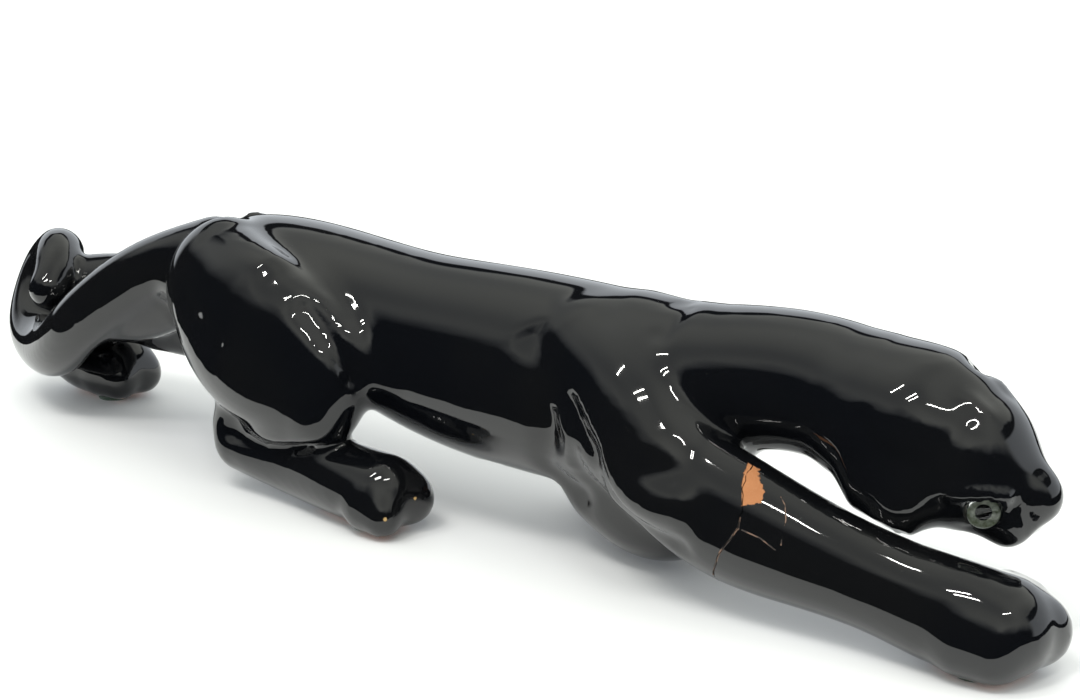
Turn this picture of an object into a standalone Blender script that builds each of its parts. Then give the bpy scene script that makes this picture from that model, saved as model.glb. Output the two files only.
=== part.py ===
"""Ceramic stalking-panther television lamp: a hollow slip-cast panther with one foreleg broken off and glued back, glass eyes, felt feet, and a small bulb, switched socket and bracket inside its belly."""

import math

import bmesh
import bpy
import numpy as np
from mathutils import Matrix, Vector

MM = 0.001
# Everything below is in millimetres from a working origin, and SHIFT moves it to the middle of the base.
SHIFT = Vector((1.62, 1.41, 0.0))

# Driving dimensions
WALL = 6.0
SOLE_Z = 1.9  # the paws are ground flat here
PAD_R, PAD_T = 7.0, 1.6
BREAK_X, BREAK_GAP = 148.9, 0.4  # the foreleg's glued break
FIT = 0.3  # gap between pieces that only rest against each other
EYE_R, EYE_DEPTH = 5.9, 9.0
LAMP_Z = 68.0  # height of the socket and bulb axis
OPENING = (16.0, 72.0, 15.0)  # belly opening: first x, last x, half width
FLOOR_Z = 38.0  # levelled pad inside the belly
SPOT_Z = 34.0
SCREW_X = -4.0
SPINDLE_X, SPINDLE_R, SPINDLE_PLAY = 24.5, 1.7, 0.06
GROMMET_X = -52.0

VOXEL, SMOOTHING, BODY_TRIANGLES, LEG_TRIANGLES = 3.0, 4, 4300, 900

# Each limb is an ellipse carried along a curve: x, y, z, half width, half height at each station.
RIGHT_FORELEG = [(102, -26, 56, 17, 24), (125, -31, 44, 18, 24), (150, -34, 36, 18, 24), (180, -35, 30, 16.5, 20.5), (210, -36, 23.5, 15.5, 18), (235, -36, 18.5, 17, 18), (257, -36, 17, 19, 17)]
BODY = {
    "torso": [(-136, 0, 79, 19, 19), (-115, 0, 76, 31, 31), (-80, 0, 76, 35, 34), (-45, 0, 74, 33, 33), (-10, 0, 68, 33, 37), (30, 0, 65, 35, 40), (65, 0, 64, 37, 40), (88, 0, 63, 36, 39), (102, 0, 63, 32, 35)],
    "neck": [(95, 0, 68, 29, 33), (125, 0, 77, 29, 28), (155, 0, 81, 27, 26), (180, -2, 79, 27, 26), (203, -4, 75, 27, 26)],
    "cranium": [(192, -4, 75, 28, 27), (210, -5, 73, 29, 29), (224, -6, 68, 25, 25)],
    "muzzle": [(218, -6, 64, 22, 22), (235, -7, 58, 19, 18), (244, -7, 54, 15, 14)],
    "right_cheek": [(198, -20, 60, 14, 15), (211, -22, 57, 14, 15)],
    "left_cheek": [(198, 12, 60, 14, 15), (211, 12, 57, 14, 15)],
    "right_ear": [(216, -20, 95, 5, 6), (224, -22, 90, 6, 8), (232, -22, 81, 6, 7)],
    "left_ear": [(216, 9, 95, 5, 6), (224, 11, 90, 6, 8), (232, 11, 81, 6, 7)],
    "right_foreleg_root": RIGHT_FORELEG[:3] + [(168, -34.6, 32, 17, 22)],
    "right_shoulder": [(70, -14, 84, 14, 16), (92, -24, 68, 17, 22), (114, -31, 50, 17, 21)],
    "left_shoulder": [(80, 14, 84, 14, 16), (92, 24, 68, 17, 22), (92, 31, 50, 17, 21)],
    "left_upper_arm": [(98, 28, 56, 15, 20), (75, 36, 38, 15, 18), (55, 38, 24, 14, 15)],
    "left_forearm": [(52, 38, 18, 13, 14), (80, 35, 13, 13, 13), (100, 33, 11.5, 16, 12.5)],
    "left_fore_toe_a": [(106, 22, 9, 6, 7), (114, 22, 8, 5.5, 6)],
    "left_fore_toe_b": [(108, 31, 9.5, 6, 7.5), (117, 31, 8.5, 5.5, 6.5)],
    "left_fore_toe_c": [(107, 40, 9, 6, 7), (115, 41, 8, 5.5, 6)],
    "brisket": [(78, -6, 30, 19, 20), (98, -8, 24, 20, 21), (118, -9, 30, 18, 20)],
    "right_thigh": [(-108, -24, 86, 18, 26), (-85, -34, 74, 20, 34), (-60, -37, 64, 19, 34), (-42, -38, 56, 15, 24)],
    "right_shin": [(-42, -36, 44, 14, 14), (-62, -32, 32, 14, 13), (-80, -29, 24, 12, 12)],
    "right_hind_foot": [(-88, -30, 20, 11, 12), (-60, -31, 15, 12, 12), (-30, -35, 12.5, 15, 12.5), (-12, -38, 11.8, 16.5, 12.3)],
    "right_hind_toe_a": [(-6, -50, 9, 6, 7), (2, -51, 8, 5.5, 6.2)],
    "right_hind_toe_b": [(-4, -42, 10, 6, 8), (6, -43, 9, 5.5, 7)],
    "right_hind_toe_c": [(-4, -33, 10, 6, 8), (6, -33, 9, 5.5, 7)],
    "right_hind_toe_d": [(-6, -25, 9, 5, 7), (2, -24, 8, 4.5, 6.2)],
    "left_thigh": [(-92, 20, 82, 18, 22), (-112, 31, 66, 20, 40), (-137, 34, 59, 19, 36), (-165, 33, 54, 16, 28), (-190, 31, 51, 14.5, 22)],
    "left_shank": [(-175, 32, 53, 15, 22), (-200, 31, 51, 14, 21), (-225, 30, 49, 14, 20), (-246, 29, 46, 14, 18)],
    "left_hind_foot": [(-250, 31, 38, 14, 15), (-249, 33, 20, 15, 15), (-232, 33, 13, 16, 14), (-216, 33, 12.5, 16.5, 13.2)],
    "left_hind_toe_a": [(-208, 23, 9, 6, 7), (-200, 23, 8, 5.5, 6)],
    "left_hind_toe_b": [(-206, 32, 9.5, 6, 7.5), (-197, 32, 8.5, 5.5, 6.5)],
    "left_hind_toe_c": [(-208, 41, 9, 6, 7), (-200, 42, 8, 5.5, 6)],
    "tail": [(-126, -2, 92, 14, 14), (-156, -7, 81, 13, 13), (-180, -10, 66, 12, 13), (-203, -9, 48, 12, 13), (-223, -2, 33, 12, 13), (-244, 10, 28, 12.5, 13), (-261, 23, 33, 13, 13), (-268, 34, 45, 12.5, 12.5), (-265, 38, 56, 12, 12), (-255, 34, 63, 11.5, 11), (-246, 24, 64, 11, 10), (-239, 14, 60, 9, 9), (-237, 9, 56, 8, 8)],
}
LEG = {
    "leg": RIGHT_FORELEG,
    "toe_a": [(258, -51, 11, 6, 8), (266, -52, 9, 5.5, 6.5)],
    "toe_b": [(262, -42, 12, 6.5, 9), (271, -42, 10, 6, 7.5)],
    "toe_c": [(262, -32, 12, 6.5, 9), (271, -31, 10, 6, 7.5)],
    "toe_d": [(258, -22, 11, 6, 8), (266, -21, 9, 5.5, 6.5)],
}
CAVITY = {
    "torso": [(-112, 0, 77, 18, 20), (-92, 0, 76, 26, 26), (-60, 0, 75, 28, 28), (-20, 0, 69.5, 27, 30), (30, 0, 66, 29, 33), (65, 0, 65, 31, 34), (95, 0, 66, 27, 30)],
    "neck": [(88, 0, 70, 23, 26), (125, 0, 78, 22, 21), (155, 0, 81, 20.5, 19.5), (180, -2, 79.5, 20, 19), (200, -4, 76, 20, 18)],
}

for item in list(bpy.data.objects):
    bpy.data.objects.remove(item)
scene = bpy.context.scene
scene.unit_settings.scale_length = 1.0
parts = bpy.data.collections.new("tv_lamp")
cutters = bpy.data.collections.new("cutters")
cutters.hide_render = True
for group in (parts, cutters):
    scene.collection.children.link(group)


def paint(name, colour, roughness, metallic=0.0):
    material = bpy.data.materials.new(name)
    material.use_nodes = True
    shader = material.node_tree.nodes["Principled BSDF"]
    shader.inputs["Base Color"].default_value = (*colour, 1.0)
    shader.inputs["Roughness"].default_value = roughness
    shader.inputs["Metallic"].default_value = metallic
    return material


LOOKS = {
    "glaze": ((0.012, 0.013, 0.013), 0.06, 0.0),
    "glass": ((0.75, 0.82, 0.75), 0.03, 0.0),
    "iris": ((0.30, 0.38, 0.16), 0.3, 0.0),
    "cement": ((0.62, 0.60, 0.55), 0.9, 0.0),
    "felt": ((0.05, 0.10, 0.06), 0.95, 0.0),
    "steel": ((0.55, 0.56, 0.58), 0.35, 1.0),
    "brass": ((0.78, 0.57, 0.22), 0.3, 1.0),
    "phenolic": ((0.035, 0.02, 0.015), 0.35, 0.0),
    "fibre": ((0.25, 0.10, 0.06), 0.8, 0.0),
    "rubber": ((0.02, 0.02, 0.02), 0.8, 0.0),
    "tungsten": ((0.30, 0.30, 0.32), 0.4, 1.0),
    "black_glass": ((0.01, 0.01, 0.012), 0.1, 0.0),
    "solder": ((0.6, 0.6, 0.6), 0.4, 1.0),
}


def add(name, bm, look=None):
    """The bmesh, given in millimetres, as an object in metres: a part with its own material, or a cutter when no look is named."""
    bmesh.ops.remove_doubles(bm, verts=bm.verts, dist=0.001)
    bmesh.ops.recalc_face_normals(bm, faces=bm.faces)
    bmesh.ops.transform(bm, matrix=Matrix.Scale(MM, 4) @ Matrix.Translation(SHIFT), verts=bm.verts)
    mesh = bpy.data.meshes.new(name)
    bm.to_mesh(mesh)
    bm.free()
    obj = bpy.data.objects.new(name, mesh)
    if look is None:
        cutters.objects.link(obj)
        obj.hide_render = True
        obj.display_type = "WIRE"
    else:
        parts.objects.link(obj)
        colour, roughness, metallic = LOOKS[look]
        mesh.materials.append(paint(name + "_" + look, colour, roughness, metallic))
    return obj


def spline(stations, count):
    """A natural cubic through the stations, spaced by the square root of their distances."""
    rows = np.asarray(stations, float)
    step = np.linalg.norm(np.diff(rows[:, :3], axis=0), axis=1) ** 0.5
    at = np.concatenate([[0.0], np.cumsum(step)])
    size = len(rows)
    system, right = np.zeros((size, size)), np.zeros(rows.shape)
    system[0, 0] = system[-1, -1] = 1.0
    for i in range(1, size - 1):
        system[i, i - 1 : i + 2] = step[i - 1], 2 * (step[i - 1] + step[i]), step[i]
        right[i] = 6 * ((rows[i + 1] - rows[i]) / step[i] - (rows[i] - rows[i - 1]) / step[i - 1])
    bend = np.linalg.solve(system, right)
    places = np.linspace(0, at[-1], count)
    k = np.clip(np.searchsorted(at, places, side="right") - 1, 0, size - 2)
    a, b, h = ((at[k + 1] - places) / step[k])[:, None], ((places - at[k]) / step[k])[:, None], step[k][:, None]
    return a * rows[k] + b * rows[k + 1] + ((a**3 - a) * bend[k] + (b**3 - b) * bend[k + 1]) * h**2 / 6


def loft(bm, stations, around=20, spacing=6.0, grow=0.0, dome=4):
    """Ellipses carried along a curve, the width kept level with Y to start with, with domed ends."""
    length = np.linalg.norm(np.diff(np.asarray(stations, float)[:, :3], axis=0), axis=1).sum()
    rows = spline(stations, max(4, int(length / spacing) + 2))
    centre, half = rows[:, :3], rows[:, 3:5] + grow
    along = np.gradient(centre, axis=0)
    along /= np.linalg.norm(along, axis=1)[:, None]
    wide = [np.array([0.0, 1.0, 0.0])]
    for tangent in along:
        side = wide[-1] - wide[-1].dot(tangent) * tangent
        wide.append(side / np.linalg.norm(side))
    wide = np.array(wide[1:])
    high = np.cross(along, wide)
    angles = np.linspace(0, 2 * np.pi, around, endpoint=False)
    bends = np.linspace(0, np.pi / 2, dome + 1)[1:-1]
    rings = []

    def ring(i, scale, out):
        middle = centre[i] + out * along[i]
        points = middle + scale * (half[i, 0] * np.cos(angles)[:, None] * wide[i] + half[i, 1] * np.sin(angles)[:, None] * high[i])
        rings.append([bm.verts.new(p) for p in points])

    for bend in bends[::-1]:
        ring(0, math.cos(bend), -half[0].mean() * math.sin(bend))
    for i in range(len(rows)):
        ring(i, 1.0, 0.0)
    for bend in bends:
        ring(-1, math.cos(bend), half[-1].mean() * math.sin(bend))
    for first, second in zip(rings, rings[1:]):
        for j in range(around):
            k = (j + 1) % around
            bm.faces.new((first[j], first[k], second[k], second[j]))
    tip = bm.verts.new(centre[-1] + along[-1] * half[-1].mean())
    start = bm.verts.new(centre[0] - along[0] * half[0].mean())
    for end, loop in ((start, rings[0]), (tip, rings[-1])):
        for j in range(around):
            bm.faces.new((end, loop[j], loop[(j + 1) % around]))


def limbs(name, table, look, triangles):
    """The table's limbs as one closed skin: voxel remesh, smoothing, then fewer triangles."""
    bm = bmesh.new()
    for stations in table.values():
        piece = bmesh.new()
        loft(piece, stations)
        bmesh.ops.recalc_face_normals(piece, faces=piece.faces)
        held = bpy.data.meshes.new("held")
        piece.to_mesh(held)
        piece.free()
        bm.from_mesh(held)
        bpy.data.meshes.remove(held)
    obj = add(name, bm, look)
    skin = obj.modifiers.new("skin", "REMESH")
    skin.mode = "VOXEL"
    skin.voxel_size = VOXEL * MM
    soft = obj.modifiers.new("soft", "SMOOTH")
    soft.factor, soft.iterations = 0.5, SMOOTHING
    graph = bpy.context.evaluated_depsgraph_get()
    found = obj.evaluated_get(graph).to_mesh()
    now = sum(len(p.vertices) - 2 for p in found.polygons)
    fewer = obj.modifiers.new("fewer", "DECIMATE")
    fewer.ratio = min(1.0, triangles / now)
    return obj


def box(name, low, high, look=None, bevel=0.0):
    bm = bmesh.new()
    bmesh.ops.create_cube(bm, size=1.0)
    low, high = Vector(low), Vector(high)
    bmesh.ops.transform(bm, matrix=Matrix.Translation((low + high) / 2) @ Matrix.Diagonal((*(high - low), 1.0)), verts=bm.verts)
    if bevel:
        bmesh.ops.bevel(bm, geom=bm.edges, offset=bevel, segments=1, affect="EDGES")
    return add(name, bm, look)


def turn(name, profile, look=None, axis="X", at=(0, 0, 0), sides=32):
    """A profile of (distance along the axis, radius) points, closed by itself, spun about the axis through at."""
    bm = bmesh.new()
    verts = [bm.verts.new((r, 0.0, a)) for a, r in profile]
    edges = [bm.edges.new((verts[i], verts[(i + 1) % len(verts)])) for i in range(len(verts)) if not (profile[i][1] == 0 and profile[(i + 1) % len(verts)][1] == 0)]
    bmesh.ops.spin(bm, geom=verts + edges, cent=(0, 0, 0), axis=(0, 0, 1), angle=2 * math.pi, steps=sides, use_merge=True)
    if isinstance(axis, Vector):
        turned = axis.to_track_quat("Z", "Y").to_matrix().to_4x4()
    else:
        turned = {"X": Matrix.Rotation(math.pi / 2, 4, "Y"), "Y": Matrix.Rotation(-math.pi / 2, 4, "X"), "Z": Matrix.Identity(4)}[axis]
    bmesh.ops.transform(bm, matrix=Matrix.Translation(at) @ turned, verts=bm.verts)
    return add(name, bm, look)


def rod(name, low, high, radius, look=None, axis="X", at=(0, 0, 0), sides=32):
    return turn(name, [(low, 0), (low, radius), (high, radius), (high, 0)], look, axis, at, sides)


def tube(name, low, high, inner, outer, look, axis="X", at=(0, 0, 0), sides=32):
    return turn(name, [(low, inner), (low, outer), (high, outer), (high, inner)], look, axis, at, sides)


def hex_nut(name, low, high, flats, bore, look, axis="X", at=(0, 0, 0)):
    """A hexagonal nut: a six-sided prism less its bore."""
    nut = rod(name, low, high, flats / math.sqrt(3), look, axis, at, 6)
    cut(nut, rod(name + "_bore", low - 1, high + 1, bore, None, axis, at, 24))
    return nut


def cut(obj, other, how="DIFFERENCE"):
    made = obj.modifiers.new(how.lower() + "_" + other.name, "BOOLEAN")
    made.object, made.operation, made.solver = other, how, "EXACT"
    return obj


# The casting: outer skin, less its inside, its belly opening and its pockets
body = limbs("panther_body", BODY, "glaze", BODY_TRIANGLES)
inside = limbs("inside", CAVITY, None, 520)
cut(inside, box("pocket", (-16, -12, FLOOR_Z), (12, 12, 52)), "UNION")
cut(inside, box("pad", (-17, -13, 20), (13, 13, FLOOR_Z)))
cut(inside, rod("grommet_seat", 47.5, 58, 8.2, None, "Z", (GROMMET_X, 0, 0)), "UNION")
cut(body, inside)
bm = bmesh.new()
x0, x1, half = OPENING
outline = [(x1 - half + half * math.cos(t), half * math.sin(t)) for t in np.linspace(-math.pi / 2, math.pi / 2, 13)]
outline += [(x0 + half + half * math.cos(t), half * math.sin(t)) for t in np.linspace(math.pi / 2, 1.5 * math.pi, 13)]
floor = bm.faces.new([bm.verts.new((x, y, 0.0)) for x, y in outline])
top = bmesh.ops.extrude_face_region(bm, geom=[floor])["geom"]
bmesh.ops.translate(bm, verts=[v for v in top if isinstance(v, bmesh.types.BMVert)], vec=(0, 0, 50))
cut(body, add("belly_opening", bm))
cut(body, rod("screw_hole", 20, 50, 2.5, None, "Z", (SCREW_X, 0, 0), 24))
cut(body, rod("screw_seat", 20, SPOT_Z, 7.0, None, "Z", (SCREW_X, 0, 0)))
cut(body, rod("grommet_hole", 30, 60, 5.0, None, "Z", (GROMMET_X, 0, 0)))
cut(body, rod("grommet_face", 30, 42.0, 8.2, None, "Z", (GROMMET_X, 0, 0)))
ground = box("ground", (-400, -200, -60), (400, 200, SOLE_Z))
cut(body, ground)
bm = bmesh.new()
loft(bm, RIGHT_FORELEG[1:], around=28, grow=1.6)
leg_room = add("leg_room", bm)
cut(leg_room, box("break_side", (60, -120, -60), (BREAK_X, 60, 160)))
cut(body, leg_room)

leg = limbs("right_foreleg", LEG, "glaze", LEG_TRIANGLES)
cut(leg, box("break_face", (60, -120, -60), (BREAK_X + BREAK_GAP, 60, 160)))
cut(leg, ground)

# Glass eyes, each a clear dome over a painted disc bedded in cement
for side, y in (("right", -24.2), ("left", 13.2)):
    look_way = Vector((0.48, -0.86 if side == "right" else 0.86, -0.12)).normalized()
    at = (239.2, y, 54.4)
    cut(body, rod(side + "_eye_pocket", -EYE_DEPTH, 12, EYE_R + 0.35, None, look_way, at, 28))
    dome = [(-1.2, 0), (-1.2, EYE_R)] + [(EYE_R * 0.55 * math.sin(t) - 0.6, EYE_R * math.cos(t)) for t in np.linspace(0, math.pi / 2, 6)[:-1]] + [(EYE_R * 0.55 - 0.6, 0)]
    turn(side + "_eye_glass", dome, "glass", look_way, at, 28)
    rod(side + "_eye_iris", -2.3, -1.5, EYE_R - 0.1, "iris", look_way, at, 28)
    rod(side + "_eye_cement", -EYE_DEPTH + 0.3, -2.6, EYE_R, "cement", look_way, at, 24)

# Felt pads under the four paws
for name, x, y in (("right_fore", 244, -36), ("left_fore", 96, 33), ("right_hind", -18, -37), ("left_hind", -224, 33)):
    rod(name + "_felt_pad", 0.0, PAD_T, PAD_R, "felt", "Z", (x, y, 0), 28)

# Bracket: a foot on the levelled pad, and an upright that carries the socket
bracket = box("lamp_bracket", (-13.5, -9, FLOOR_Z + FIT), (9.5, 9, FLOOR_Z + FIT + 1.5), "steel")
cut(bracket, box("upright", (8, -9, FLOOR_Z + FIT), (9.5, 9, LAMP_Z + 9)), "UNION")
cut(bracket, rod("bracket_screw_hole", 30, 50, 2.5, None, "Z", (SCREW_X, 0, 0), 24))
cut(bracket, rod("bracket_nipple_hole", 0, 20, 5.1, None, "X", (0, 0, LAMP_Z), 32))
head, washer = SPOT_Z - 3.6, SPOT_Z - 1.3
screw = turn("bracket_screw", [(head, 0), (head, 2.6), (head + 0.8, 3.9), (head + 2.0, 3.9), (head + 2.0, 2.0), (46.5, 2.0), (47, 1.5), (47, 0)], "steel", "Z", (SCREW_X, 0, 0), 24)
cut(screw, box("slot", (SCREW_X - 5, -0.5, head - 1), (SCREW_X + 5, 0.5, head + 1.0)))
tube("bracket_washer", washer, washer + 1.0, 2.4, 5.8, "fibre", "Z", (SCREW_X, 0, 0), 28)
hex_nut("bracket_nut", FLOOR_Z + 2.1, FLOOR_Z + 5.3, 7.0, 2.3, "steel", "Z", (SCREW_X, 0, 0))
lamp = (0, 0, LAMP_Z)
tube("lamp_nipple", -1.0, 15.0, 3.4, 4.8, "brass", "X", lamp, 20)
hex_nut("nipple_locknut", 3.4, 7.7, 14.0, 5.1, "brass", "X", lamp)

# Socket, with its turn switch
turn("socket_cap", [(9.8, 5.1), (9.8, 12.6), (10.8, 13.9), (20.0, 13.9), (20.0, 13.0), (11.6, 13.0), (10.9, 12.2), (10.9, 5.1)], "brass", "X", lamp, 24)
socket = turn("socket_body", [(11.3, 6.2), (11.3, 12.0), (12.0, 12.6), (20.3, 12.6), (20.3, 13.9), (46.5, 13.9), (48, 12.6), (48, 7.7), (29.0, 7.7), (29.0, 1.9), (27.7, 1.9), (27.7, 0), (21.5, 0), (21.5, 6.2)], "phenolic", "X", lamp, 24)
cut(socket, rod("spindle_hole", 40, LAMP_Z - 8.9, SPINDLE_R + SPINDLE_PLAY, None, "Z", (SPINDLE_X, 0, 0)))
for side, way in (("right", -1), ("left", 1)):
    out = Vector((0, way, 0))
    place = (24.5, 0, LAMP_Z + 3)
    cut(socket, rod(side + "_terminal_hole", 8.0, 20, 1.8, None, out, place, 20))
    cut(socket, rod(side + "_terminal_face", 12.8, 20, 3.2, None, out, place, 20))
    turn(side + "_terminal_screw", [(8.4, 0), (8.4, 1.5), (13.1, 1.5), (13.1, 2.7), (14.5, 2.7), (15.1, 2.0), (15.1, 0)], "brass", out, place, 20)
rings = [(32.6 + 2.54 * i + d, r) for i in range(5) for d, r in ((0.0, 6.2), (1.27, 6.55))] + [(45.6, 6.35)]
turn("socket_screw_shell", [(30.5, 3.0), (30.5, 7.35), (46.4, 7.35), (46.4, 6.35)] + rings[::-1] + [(31.3, 6.2), (31.3, 3.0)], "brass", "X", lamp, 20)
tube("socket_insulator", 29.3, 30.2, 1.8, 7.3, "fibre", "X", lamp, 20)
turn("socket_contact", [(28.0, 0), (28.0, 1.5), (30.5, 1.5), (30.5, 2.2), (31.0, 2.2), (31.3, 1.2), (31.3, 0)], "brass", "X", lamp, 20)

rod("switch_spindle", 46.2, LAMP_Z - 9.2, SPINDLE_R, "steel", "Z", (SPINDLE_X, 0, 0))
bm = bmesh.new()
flutes = [bm.verts.new(((6.3 + 0.45 * math.cos(10 * t)) * math.cos(t) + SPINDLE_X, (6.3 + 0.45 * math.cos(10 * t)) * math.sin(t), 43.5)) for t in np.linspace(0, 2 * math.pi, 60, endpoint=False)]
face = bm.faces.new(flutes)
raised = bmesh.ops.extrude_face_region(bm, geom=[face])["geom"]
bmesh.ops.translate(bm, verts=[v for v in raised if isinstance(v, bmesh.types.BMVert)], vec=(0, 0, 9))
knob = add("switch_knob", bm, "phenolic")
cut(knob, rod("knob_hole", 45.9, 60, SPINDLE_R + FIT, None, "Z", (SPINDLE_X, 0, 0), 24))
cut(knob, box("knob_pointer", (SPINDLE_X + 1.5, -0.5, 42), (SPINDLE_X + 9, 0.5, 44.3)))

# Bulb
turn("bulb_contact", [(31.6, 0), (31.8, 1.2), (32.3, 2.0), (32.9, 2.0), (32.9, 0)], "solder", "X", lamp, 20)
turn("bulb_insulator", [(33.2, 0), (33.2, 2.2), (34.4, 4.6), (36.4, 4.6), (36.4, 0)], "black_glass", "X", lamp, 24)
rings = [(36.0 + 2.54 * i + d, r) for i in range(4) for d, r in ((0.0, 5.55), (1.27, 5.95))]
turn("bulb_base", [(34.6, 5.0), (34.6, 5.3)] + rings + [(46.2, 5.6), (46.8, 5.95), (50.0, 5.95), (50.0, 5.0)], "brass", "X", lamp, 20)
shape = [(39.0, 4.6), (50.4, 4.6), (53.0, 6.3), (57.0, 9.2), (62.0, 10.8), (67.0, 11.0), (73.0, 10.0), (79.0, 7.6), (84.0, 4.6), (87.0, 2.0)]
wall = 0.8
turn("bulb_glass", shape + [(88.0, 0), (88.0 - wall, 0)] + [(x - (0.5 if x > 66 else 0), r - wall) for x, r in shape[::-1]], "glass", "X", lamp, 20)
turn("bulb_stem", [(39.6, 0), (39.6, 3.4), (44.0, 3.2), (50.0, 2.0), (54.0, 2.0), (54.0, 0)], "glass", "X", lamp, 20)
coil = bpy.data.curves.new("bulb_filament", "CURVE")
coil.dimensions = "3D"
coil.bevel_depth = 0.28 * MM
coil.bevel_resolution = 1
coil.use_fill_caps = True
path = [(54.35, -1.4, 0), (58, -2.0, 0), (64, -4.6, 0), (66.5, -4.9, 0)]
path += [(67.0 + 0.8 * math.sin(t), -4.4 + 8.8 * t / (8 * math.pi), 0.8 * math.cos(t)) for t in np.linspace(0, 8 * math.pi, 33)]
path += [(66.5, 4.9, 0), (64, 4.6, 0), (58, 2.0, 0), (54.35, 1.4, 0)]
line = coil.splines.new("POLY")
line.points.add(len(path) - 1)
for point, (x, y, z) in zip(line.points, path):
    point.co = (*((Vector((x, y, z + LAMP_Z)) + SHIFT) * MM), 1.0)
filament = bpy.data.objects.new("bulb_filament", coil)
parts.objects.link(filament)
coil.materials.append(paint("bulb_filament_tungsten", *LOOKS["tungsten"]))
weld = filament.modifiers.new("weld", "WELD")
weld.merge_threshold = 0.00001

# Rubber bush where the cord enters
turn("cord_grommet", [(40.0, 3.2), (40.0, 6.6), (40.4, 7.2), (41.2, 7.4), (41.7, 7.4), (41.7, 4.7), (47.8, 4.7), (47.8, 7.4), (49.0, 7.2), (49.4, 6.4), (49.4, 3.2)], "rubber", "Z", (GROMMET_X, 0, 0), 20)
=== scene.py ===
import functools
import math

import bmesh
import bpy
import numpy as np
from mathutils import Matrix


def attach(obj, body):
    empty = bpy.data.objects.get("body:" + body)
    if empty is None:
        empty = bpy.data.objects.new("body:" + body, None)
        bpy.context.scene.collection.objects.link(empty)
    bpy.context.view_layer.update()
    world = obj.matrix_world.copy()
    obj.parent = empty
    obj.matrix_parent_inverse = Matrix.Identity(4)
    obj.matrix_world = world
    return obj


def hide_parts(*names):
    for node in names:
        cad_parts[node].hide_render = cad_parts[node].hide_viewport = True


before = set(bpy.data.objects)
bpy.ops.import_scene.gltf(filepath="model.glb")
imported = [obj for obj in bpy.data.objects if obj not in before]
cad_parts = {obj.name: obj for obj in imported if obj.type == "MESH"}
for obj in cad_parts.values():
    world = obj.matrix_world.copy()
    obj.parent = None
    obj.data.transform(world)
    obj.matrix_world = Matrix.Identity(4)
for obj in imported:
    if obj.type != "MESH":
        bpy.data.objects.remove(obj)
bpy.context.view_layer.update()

import openvdb
from mathutils import Matrix, Vector

# Shapes are worked out in millimetres from the casting's working origin.
# SHIFT and MM take them to the frame's own place and unit.
MM = 0.001
SHIFT = np.array([1.62, 1.41, 0.0])
UP, FORWARD = (0, 0, 1), (1, 0, 0)
STEP = 1.74  # spacing of the field that the casting's skin is taken from
BAND = 13.0  # the field is true this near to a surface
FIELD_LOW = np.array([-297.0, -72.0, -12.0])
FIELD_SIZE = np.ceil(np.array([590.0, 148.0, 138.0]) / STEP).astype(int)
ROUNDS = 8  # how often the skin is evened
SHRINK, SWELL = 0.5, -0.53
SOLE_Z = 1.9  # the height of the ground soles over the table
LAMP = (0.0, 0.0, 68.0)  # a point on the axis of the socket and the bulb
EYE_R = 5.9
EYE_ROOM = 0.35  # the gap round an eye glass
EYE_EDGE = 0.6  # how far behind the eye's place the dome's edge lies
EYE_ROWS = 26  # rings of the dome and of the painted disc
EYE_RISE = 3.25  # how far the glass's dome stands out of its rim
BROW_DROP = 3.0  # how far down the glass the brow reaches
EYE_AT = {"right": (239.2, -24.2, 54.4), "left": (239.2, 13.2, 54.4)}
EYE_WAY = {"right": (0.48, -0.86, -0.12), "left": (0.48, 0.86, -0.12)}
# The foreleg's glued break, as heights and how far forward it runs there
BREAK_LINE = [
    (8, 143.5), (19, 146.0), (30, 151.4), (36, 155.5), (41, 158.2), (48, 158.4), (53, 156.4), (62, 154.2),
]
BREAK_GAP = 0.3
BREAK_SPARE = 4.0  # how far past the break the two pieces run before they are cut to it
BREAK_PAST = 6.0  # how far past that the cutting block runs
BREAK_MIDDLE, BREAK_HALF = (-34.0, 34.5), (20.8, 27.5)  # y and z of the cutting block's ends
LEG_ROOM = 1.6
FLOOR_Z, SPOT_Z = 38.0, 34.0  # the levelled pad inside the belly, and the spot face under it
SCREW_X, SPINDLE_X, GROMMET_X = -4.0, 24.5, -52.0
SCREW_HOLE, SPOT_R = 2.5, 7.0
CORD_HOLE, CORD_SEAT = 5.0, 8.2
OPENING_ENDS, OPENING_HALF, OPENING_TOP = (31.0, 57.0), 15.0, 50.0
THREAD = 2.54  # pitch of the bulb's thread and its shell
COILS, COIL_R, COIL_HALF = 12, 0.62, 4.4  # the filament's turns, radius and half length
PADS = {
    "right_fore": (244, -36), "left_fore": (96, 33), "right_hind": (-18, -37), "left_hind": (-224, 33),
}
PAD_R, PAD_HIGH = 7.0, 1.6
TABLE_LOW, TABLE_HIGH = (-420, -92, -30), (400, 700, 0)
FLOOR_REACH, FLOOR_DROP = 6000, -0.05
SKY, CEILING, WALL = 1.25, 1.5, 1.1
DARK = 0.015  # the least that a mirror sees
CAMERA_AT, CAMERA_WAY = (0.56515, -0.77276, 0.34836), (-0.53821, 0.79439, -0.28155)
LENS, SENSOR = 82.93, 36.0
TUBE_SIZE, TUBE_POWER = (0.022, 0.60), 6.0
TUBE_TURN = 54.0  # degrees from X to the way the tubes lie
# Where each tube light hangs, in metres
TUBES = [(0.12, -1.05, 1.90), (0.24, -1.15, 1.90), (1.0, -0.75, 1.90), (-0.52, -0.90, 2.0)]
# The chip beside the break: planes that enclose it, each as the way it faces and a point on it
CHIP_SIDES = [
    ((-1.0, 0.0, -0.41), (156.4, -45.7, 52.7)), ((0.85, 0.0, 1.0), (160.7, -40.6, 55.8)),
    ((1.0, 0.0, 0.15), (164.6, -46.0, 50.0)), ((0.26, 0.0, -1.0), (162.0, -47.0, 49.2)),
    ((0.0, 1.0, 0.0), (160.0, -36.5, 50.0)),
]
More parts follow.
